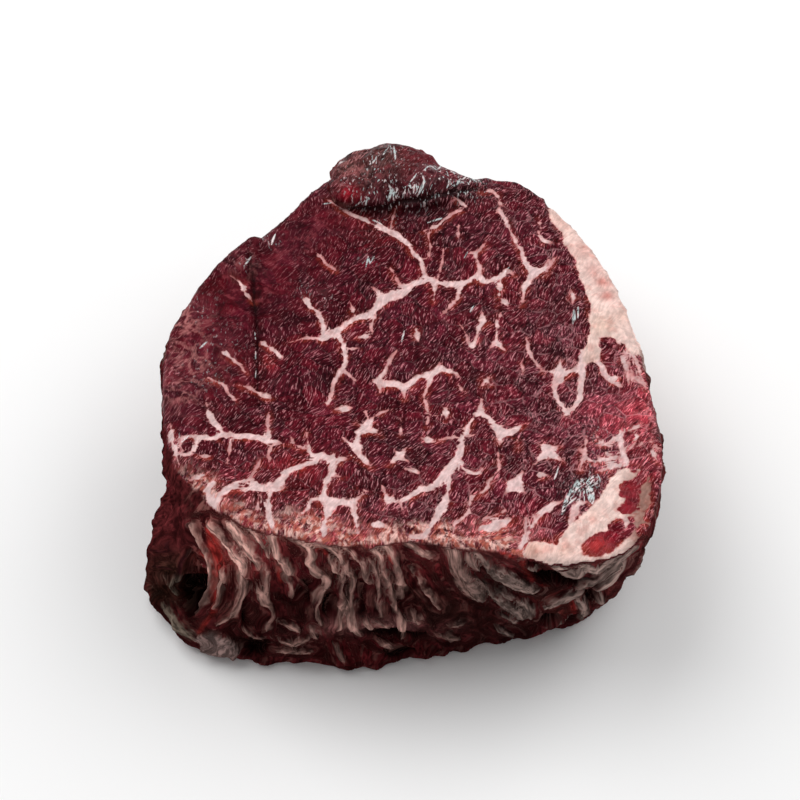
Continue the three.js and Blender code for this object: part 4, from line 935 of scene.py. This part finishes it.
    def seam_looks(self):
        """The nearest pale mark, how far outside a pale region each point is, and its pale colour."""
        side_fat = self.side_fat()
        pale = self.on_face[:, None] * self.face_fat_colours() + self.on_wall[:, None] * self.strand_colours()
        pale = pale * (1 - HIDDEN_DARKER * self.other_wall)[:, None]
        pale = towards(pale, side_fat, SIDE_FAT)
        silver = ease(.62, 1.12, self.folds + .5 * waves(self.upright / (4, 4, 10), 27))
        hidden_edge = .5 - .9 * silver * ease(4, 9, self.points[:, 2]) - 1.4 * side_fat
        chosen = self.on_face > .5
        hidden = (~chosen) & (self.shown_wall < .5)
        vector = np.where(chosen[:, None], self.seam_vector, self.strand_vector)
        half = np.where(chosen, self.seam_half, self.strand_half)
        gap = np.where(hidden, FAR, np.where(chosen, self.seam_gap, self.strand_gap))
        region = np.where(chosen, self.fat_edge, np.where(hidden, hidden_edge, self.flap_edge))
        return {"seam": np.column_stack([vector, half]), "seam_gap": gap, "region": region, "pale": pale}

    def face_line(self, vector, half):
        """Lines that only the cut face shows, as vector and half width."""
        return np.column_stack([np.where((self.on_face > .5)[:, None], vector, FAR), half])

    def lip(self):
        """The frayed edge of the face along the front."""
        x, y = self.face.T
        frayed = ease(-5.6, -1.6, self.rim + 1.8 * waves(self.points / 2.4, 15))
        return self.on_face * frayed * ease(-22, -30, y) * ease(24, 17, x) * (.75 + .25 * ease(-32, -16, x))

    def streak_places(self):
        """Places for the streaks of the wall, laid along its strands near them."""
        z = STREAK_STRETCH * self.points[:, 2]
        distance = np.hypot(*self.strand_vector.T)
        across_strand = np.where(self.strand_vector[:, 0] < 0, -1.0, 1.0) * distance
        hung = np.column_stack([across_strand, .35 * self.upright[:, 0], z])
        free = np.column_stack([self.upright[:, :2], z])
        return towards(free, self.shown_wall * ease(3.4, 2, distance), hung)

    def looks(self):
        """Everything the material reads, by name."""
        x, y = self.face.T
        fine = .35 + .35 * ease(-12, 34, x) + .25 * ease(-14, -34, y) + spots(self.face, FINER)
        glint_vector, glint_half, _ = nearest_line(self.face, GLINTS)
        return {
            "meat": self.meat_colours(),
            **self.seam_looks(),
            "groove": self.face_line(self.groove_vector, self.groove_half),
            "glint": self.face_line(glint_vector, glint_half),
            "fine": np.clip(self.on_face * fine + self.on_wall * .3, 0, 1),
            "wet_and_glints": np.clip(self.on_face * spots(self.face, DAMP_GLINTS), 0, 1),
            "wrinkled": np.clip(self.on_face * spots(self.face, WRINKLES), 0, 1),
            "side": self.on_wall,
            "streak": self.streak_places(),
            "grainy": self.grainy,
            "lip": self.lip(),
        }


def steak_mesh(source):
    mesh, points = remeshed_copy(source)
    write_points(mesh, points)
    steak = Steak(points, read(mesh.vertex_normals, "vector", 3))
    steak.take_relief()
    write_points(mesh, steak.points)
    for name, values in steak.looks().items():
        add_attribute(mesh, name, values)
    for polygon in mesh.polygons:
        polygon.use_smooth = True
    return mesh


class Shader:
    """Short names for building a material's nodes."""

    def __init__(self, name):
        self.material = bpy.data.materials.new(name)
        self.material.use_nodes = True
        self.tree = self.material.node_tree
        self.principled = self.tree.nodes["Principled BSDF"]

    def node(self, kind, inputs=None, **settings):
        made = self.tree.nodes.new(kind)
        for key, value in settings.items():
            setattr(made, key, value)
        for key, value in (inputs or {}).items():
            self.feed(made, key, value)
        return made

    def feed(self, node, key, value):
        if isinstance(value, bpy.types.NodeSocket):
            self.tree.links.new(value, node.inputs[key])
        else:
            node.inputs[key].default_value = value

    def attribute(self, name, output="Fac"):
        return self.node("ShaderNodeAttribute", attribute_name=name).outputs[output]

    def math(self, operation, a, b=0.0):
        return self.node("ShaderNodeMath", {0: a, 1: b}, operation=operation).outputs[0]

    def plus(self, first, *others):
        for other in others:
            first = self.math("ADD", first, other)
        return first

    def less(self, a, b):
        return self.math("SUBTRACT", a, b)

    def times(self, first, *others):
        for other in others:
            first = self.math("MULTIPLY", first, other)
        return first

    def most(self, first, *others):
        for other in others:
            first = self.math("MAXIMUM", first, other)
        return first

    def from_middle(self, noise):
        """How far a noise is from its middle value."""
        return self.math("ABSOLUTE", self.less(noise, .5))

    def length(self, a):
        return self.node("ShaderNodeVectorMath", {0: a}, operation="LENGTH").outputs[1]

    def added(self, a, b):
        return self.node("ShaderNodeVectorMath", {0: a, 1: b}, operation="ADD").outputs[0]

    def stretched(self, a, b):
        """A place or colour multiplied number by number."""
        return self.node("ShaderNodeVectorMath", {0: a, 1: b}, operation="MULTIPLY").outputs[0]

    def scaled(self, a, factor):
        return self.node("ShaderNodeVectorMath", {0: a, 3: factor}, operation="SCALE").outputs[0]

    def ramp(self, value, low, high, to_low=0.0, to_high=1.0):
        inputs = {"Value": value, "From Min": low, "From Max": high, "To Min": to_low, "To Max": to_high}
        return self.node("ShaderNodeMapRange", inputs, interpolation_type="SMOOTHSTEP").outputs["Result"]

    def mix(self, share, a, b):
        return self.node("ShaderNodeMix", {"Factor": share, 6: a, 7: b}, data_type="RGBA").outputs[2]

    def parts(self, vector):
        return self.node("ShaderNodeSeparateXYZ", {0: vector}).outputs

    def noise(self, place, scale=1.0, detail=2.0, rough=.5, output=0):
        inputs = {"Vector": place, "Scale": scale, "Detail": detail, "Roughness": rough}
        return self.node("ShaderNodeTexNoise", inputs).outputs[output]

    def drift(self, place, scale, amount):
        """A soft push to the side that changes from place to place."""
        inputs = {0: self.noise(place, scale, 1, output="Color"), 1: (.5, .5, .5)}
        from_middle = self.node("ShaderNodeVectorMath", inputs, operation="SUBTRACT").outputs[0]
        return self.scaled(from_middle, amount)

    def cells(self, place, feature="F1", output="Color"):
        made = self.node("ShaderNodeTexVoronoi", {"Vector": place, "Scale": 1.0}, feature=feature)
        return made.outputs[output]

    def cell_borders(self, place):
        return self.cells(place, "DISTANCE_TO_EDGE", "Distance")

    def outside_line(self, name, gap=0.0):
        """Distance outside the nearest of the lines kept in an attribute as a vector and half a width."""
        x, y, half = self.parts(self.attribute(name, "Vector"))
        level = self.node("ShaderNodeCombineXYZ", {0: x, 1: y}).outputs[0]
        return self.less(self.most(self.length(level), gap), half)


class RawMeat(Shader):
    """The steak's one material. The mesh says what each place belongs to, and noise draws the rest."""

    def __init__(self):
        super().__init__("raw_meat_looks")
        self.place = self.scaled(self.node("ShaderNodeTexCoord").outputs["Object"], 1 / MM)
        self.meat = self.attribute("meat", "Color")
        self.pale = self.attribute("pale", "Color")
        self.fine = self.attribute("fine")
        self.side = self.attribute("side")
        self.grainy = self.attribute("grainy")
        self.wet_and_glints = self.attribute("wet_and_glints")
        self.lip = self.attribute("lip")
        self.draw_fibres()
        self.draw_streaks()
        self.find_fat()
        self.finish(self.with_glints(self.mix(self.side, self.face_colour(), self.wall_colour())))
        self.raise_relief()

    def draw_fibres(self):
        """Fibre ends of the cut face: short dashes in bundles, each bundle with its own heading."""
        self.swirl = self.drift(self.place, .13, 3.6)
        self.wobble = self.drift(self.place, 1.1, .22)
        self.bent = self.added(self.added(self.place, self.swirl), self.wobble)
        bundle_place = self.stretched(self.bent, (.3, .34, .12))
        self.bundle_edge = self.cell_borders(bundle_place)
        self.bundle = self.node("ShaderNodeSeparateColor", {0: self.cells(bundle_place)}).outputs
        heading = self.ramp(self.bundle[0], 0, 1, *FIBRE_HEADINGS)
        self.turned = self.node("ShaderNodeVectorRotate", {"Vector": self.bent, "Angle": heading},
                                rotation_type="Z_AXIS").outputs[0]
        self.dashes = self.noise(self.stretched(self.turned, (.85, 4.1, .5)), rough=.6)
        # Painted shade in the pits between the raised fibre ends
        self.pits = self.times(self.ramp(self.dashes, .48, .36), self.grainy)
        self.soft = self.noise(self.added(self.place, self.swirl), .55, 3, .6)
        self.pit_shade = self.less(1.0, self.times(self.pits, .65))

    def draw_streaks(self):
        """Streaks of the wall, fine and broad."""
        self.streak_place = self.added(self.attribute("streak", "Vector"), self.scaled(self.wobble, .5))
        self.streak = self.noise(self.stretched(self.streak_place, (1.9, 1.9, 1)))
        self.broad_streak = self.noise(self.stretched(self.streak_place, (.75, .75, .8)), detail=1)
        self.patch = self.noise(self.place, .3)

    def find_fat(self):
        """Distance outside the fat, with round bundles pushing into its edge."""
        seam_gap = self.less(self.attribute("seam_gap"), .3)
        outside_seam = self.outside_line("seam", seam_gap)
        self.smooth_outside = self.math("MINIMUM", outside_seam, self.attribute("region"))
        small_edge = self.cell_borders(self.stretched(self.bent, (.62, .7, .2)))
        ragged = self.times(self.less(self.noise(self.place, 1.7, 3), .5), .4)
        small = self.times(self.less(self.math("MINIMUM", small_edge, .32), .13), .9)
        large = self.times(self.less(self.math("MINIMUM", self.bundle_edge, .3), .13), 1.1)
        self.outside = self.plus(self.smooth_outside, ragged, small, large)

    def fine_marbling_and_highlights(self):
        """Share of the fine pale marks and painted highlights: dashes on the raised fibre ends, partly
        painted highlight, slashes along the fibres, and films between bundles.
        """
        patchy = self.ramp(self.noise(self.place, .9), .46, .58)
        slash = self.from_middle(self.noise(self.stretched(self.turned, (.5, 2.6, .4)), detail=1))
        slash = self.times(self.ramp(slash, .012, .05, 1.0, 0.0), patchy,
                           self.ramp(self.fine, .35, .9, 0, .55))
        film = self.times(self.ramp(self.bundle_edge, .015, .05, 1.0, 0.0),
                          self.ramp(self.noise(self.place, .4, 1), .47, .6),
                          self.ramp(self.fine, .3, .9, .05, .5))
        # Dashes on the raised fibre ends: pale tissue, partly painted highlight
        dash_and_highlight = self.times(self.ramp(self.dashes, .56, .67), self.ramp(self.fine, 0, .7, .5, 1.0))
        return self.times(self.most(slash, film, dash_and_highlight), self.ramp(self.grainy, .1, 1, .08, 1))

    def face_meat(self):
        """Muscle of the face, uneven from bundle to bundle, with painted shade at the bundles' borders and in
        the pits, and redder next to the seams with painted light.
        """
        tone_and_shade = self.noise(self.stretched(self.turned, (.5, 1.3, .3)), detail=1)
        # Painted shade at the bundles' borders, where the bundles dip
        tone_and_shade = self.times(self.ramp(tone_and_shade, .3, .7, .7, 1.3), self.ramp(self.bundle[1], 0, 1, .78, 1.25),
                          self.ramp(self.bundle_edge, 0, .12, .6, 1.05))
        tone_and_shade = self.plus(1.0, self.times(self.less(tone_and_shade, 1.0), self.grainy))
        broad = self.ramp(self.noise(self.place, .2), .3, .7, .7, 1.3)
        plainness = self.times(self.less(1.0, self.grainy), .6)
        gloom = self.less(1.0, self.times(self.ramp(self.soft, .5, .36), plainness))
        meat = self.stretched(self.scaled(self.meat, self.times(tone_and_shade, broad, self.pit_shade, gloom)), FACE_CAST)
        meat = self.mix(self.ramp(self.bundle[2], .4, .7, 0, .6), meat, self.stretched(meat, MAUVE_CAST))
        meat = self.mix(self.times(self.ramp(self.soft, .52, .64), plainness), meat, FLUSH)
        seam_y = self.parts(self.attribute("seam", "Vector"))[1]
        # Painted light: redder, lighter muscle rising to a seam, mostly on the seam's front side
        seam_slope_light = self.times(self.ramp(self.smooth_outside, 1.3, .1), self.ramp(seam_y, -.5, .8, .2, 1),
                            self.ramp(self.noise(self.place, .33), .44, .62, .05, .8))
        return self.mix(seam_slope_light, meat, self.scaled(SEAM_SLOPE_LIGHT, self.pit_shade))

    def face_fat(self):
        """Fat of the face, mottled and ribbed, pinker at its edge."""
        mottled = self.scaled(self.pale, self.ramp(self.noise(self.place, .8, 3), .3, .7, .8, 1.08))
        ribs = self.noise(self.stretched(self.turned, (.5, 2.2, .5)))
        fat = self.scaled(mottled, self.ramp(ribs, .35, .65, .84, 1.06))
        blush = self.ramp(self.noise(self.place, .45, 3), .5, .68, 0, .55)
        fat = self.mix(blush, fat, self.stretched(fat, BLUSH_CAST))
        return self.mix(self.ramp(self.outside, .1, -.3), self.stretched(fat, EDGE_CAST), fat)

    def face_colour(self):
        meat = self.face_meat()
        face = self.mix(self.fine_marbling_and_highlights(), meat, self.mix(.5, self.scaled(meat, 4.5), MARBLING_AND_HIGHLIGHT))
        crease = self.from_middle(self.noise(self.added(self.place, self.swirl), .38))
        crease = self.times(self.ramp(crease, 0, .08, 1, 0), self.attribute("wrinkled"),
                            self.ramp(self.dashes, .36, .56, .35, .9))
        face = self.mix(crease, face, CREASE)
        tuft = self.noise(self.stretched(self.bent, (1.2, .8, .6)), detail=3, rough=.6)
        tuft_tone = self.noise(self.stretched(self.bent, (1.1, .8, .6)), detail=3)
        tuft_colour = self.scaled(self.mix(self.ramp(tuft_tone, .42, .6), TUFT_RED, TUFT_PALE),
                                  self.ramp(self.dashes, .36, .62, .72, 1.08))
        face = self.mix(self.times(self.ramp(tuft, .38, .56), self.lip), face, tuft_colour)
        face = self.mix(self.ramp(self.outside, .12, -.12), face, self.face_fat())
        # Painted shade inside the slit and the fold
        in_groove = self.times(self.ramp(self.outside_line("groove"), .25, -.15),
                               self.ramp(self.soft, .3, .6, 1, .6))
        return self.mix(in_groove, face, GROOVE_SHADE)

    def wall_colour(self):
        """Soft feathered strands over streaked muscle, the strands with painted light along their middles."""
        meat = self.scaled(self.meat, self.times(self.ramp(self.streak, .3, .7, .45, 1.6),
                                                 self.ramp(self.patch, .35, .65, .6, 1.4)))
        film = self.times(self.ramp(self.broad_streak, .5, .66), self.ramp(self.streak, .35, .6, .35, 1), .5)
        meat = self.mix(film, meat, self.stretched(self.pale, FILM_CAST))
        torn = self.noise(self.stretched(self.streak_place, (2.2, 2.2, 1)), detail=3)
        strand = self.ramp(self.plus(self.smooth_outside, self.times(self.less(torn, .5), 2.1)), .5, -.45)
        # Painted light: each strand lighter along its middle, with uneven streaks and patches
        light = self.times(self.ramp(self.smooth_outside, .2, -.8, .72, 1.12),
                           self.ramp(self.streak, .34, .66, .42, 1.45),
                           self.ramp(self.patch, .3, .7, .75, 1.2))
        return self.mix(strand, meat, self.scaled(self.pale, light))

    def with_glints(self, colour):
        """The colour with painted highlights: bright specks in the damp places, and strokes."""
        speck = self.ramp(self.noise(self.stretched(self.bent, (2.4, 1.2, .8))), .6, .68)
        stroke = self.times(self.ramp(self.outside_line("glint"), .1, -.08), self.ramp(self.dashes, .35, .55))
        share = self.most(self.times(speck, self.wet_and_glints, .9), stroke)
        warmth = self.ramp(self.noise(self.place, .7, 1), .4, .6)
        return self.mix(share, colour, self.mix(warmth, GLINT_COOL, GLINT_WARM))

    def finish(self, colour):
        rough = self.ramp(self.noise(self.place, .7, 3), .3, .7, *ROUGHNESS)
        shine = self.ramp(self.side, 0, .6, FACE_SPECULAR, 0)
        self.feed(self.principled, "Base Color", colour)
        self.feed(self.principled, "Roughness", self.less(rough, self.times(self.wet_and_glints, .15)))
        self.feed(self.principled, "Specular IOR Level", self.plus(shine, self.times(self.wet_and_glints, .1)))
        self.feed(self.principled, "Subsurface Weight", .03)
        self.feed(self.principled, "Subsurface Radius", (1.0, .35, .25))
        self.feed(self.principled, "Subsurface Scale", .8 * MM)

    def raise_relief(self):
        """Relief too fine for the mesh, in millimetres."""
        dashes = self.times(self.dashes, self.grainy, self.ramp(self.smooth_outside, 0, .6, 0, .22),
                            self.less(1.0, self.times(self.lip, .6)))
        bundles = self.times(self.ramp(self.bundle_edge, 0, .3), self.grainy,
                             self.ramp(self.smooth_outside, 0, .9, 0, .4))
        face_height = self.plus(dashes, bundles, self.times(self.noise(self.place, 2.2), .06))
        wall_height = self.times(self.plus(self.streak, self.broad_streak), .22)
        height = self.node("ShaderNodeMix", {0: self.side, 2: face_height, 3: wall_height}).outputs[0]
        bump = self.node("ShaderNodeBump", {"Height": height, "Strength": 1.0, "Distance": MM})
        self.feed(self.principled, "Normal", bump.outputs[0])


def make_steak():
    mesh = steak_mesh(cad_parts[NODE])
    mesh.materials.clear()
    mesh.materials.append(RawMeat().material)
    steak = bpy.data.objects.new("steak", mesh)
    bpy.context.scene.collection.objects.link(steak)
    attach(steak, "root")
    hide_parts(NODE)


def make_floor():
    side = FLOOR_SIDE / 2
    corners = [(-side, -side, 0), (side, -side, 0), (side, side, 0), (-side, side, 0)]
    mesh = bpy.data.meshes.new("floor")
    mesh.from_pydata(corners, [], [(0, 1, 2, 3)])
    shader = Shader("pale_floor")
    shader.feed(shader.principled, "Base Color", (.93, .93, .93, 1))
    shader.feed(shader.principled, "Roughness", .95)
    mesh.materials.append(shader.material)
    floor = bpy.data.objects.new("floor", mesh)
    bpy.context.scene.collection.objects.link(floor)


def make_light(name, place, power):
    data = bpy.data.lights.new(name, "AREA")
    data.size = LIGHT_SIZE
    data.energy = power
    light = bpy.data.objects.new(name, data)
    light.location = place
    light.rotation_euler = (LIGHT_TARGET - Vector(place)).to_track_quat("-Z", "Y").to_euler()
    bpy.context.scene.collection.objects.link(light)


def make_room():
    make_light("key", (-.42, .22, .78), 4.9)
    make_light("fill", (.5, .25, .72), 3.6)
    world = bpy.data.worlds.new("soft_room")
    world.use_nodes = True
    world.node_tree.nodes["Background"].inputs["Color"].default_value = (1, 1, 1, 1)
    world.node_tree.nodes["Background"].inputs["Strength"].default_value = ROOM_LIGHT
    bpy.context.scene.world = world


def make_camera():
    data = bpy.data.cameras.new("camera")
    data.sensor_width = 36
    data.lens = VIEW_SCALE * VIEW_DISTANCE * data.sensor_width / IMAGE_SIDE
    data.shift_x = -(VIEW_CENTRE[0] - IMAGE_SIDE / 2) / IMAGE_SIDE
    data.shift_y = (VIEW_CENTRE[1] - IMAGE_SIDE / 2) / IMAGE_SIDE
    data.clip_start = .01
    camera = bpy.data.objects.new("camera", data)
    camera.location = Vector((PHOTO_EYE + READING_SHIFT) * MM)
    camera.rotation_euler = (math.pi / 2 - VIEW_ELEVATION, 0, 0)
    bpy.context.scene.collection.objects.link(camera)
    bpy.context.scene.camera = camera


bpy.context.scene.view_settings.view_transform = "Standard"
make_camera()
make_steak()
make_floor()
make_room()
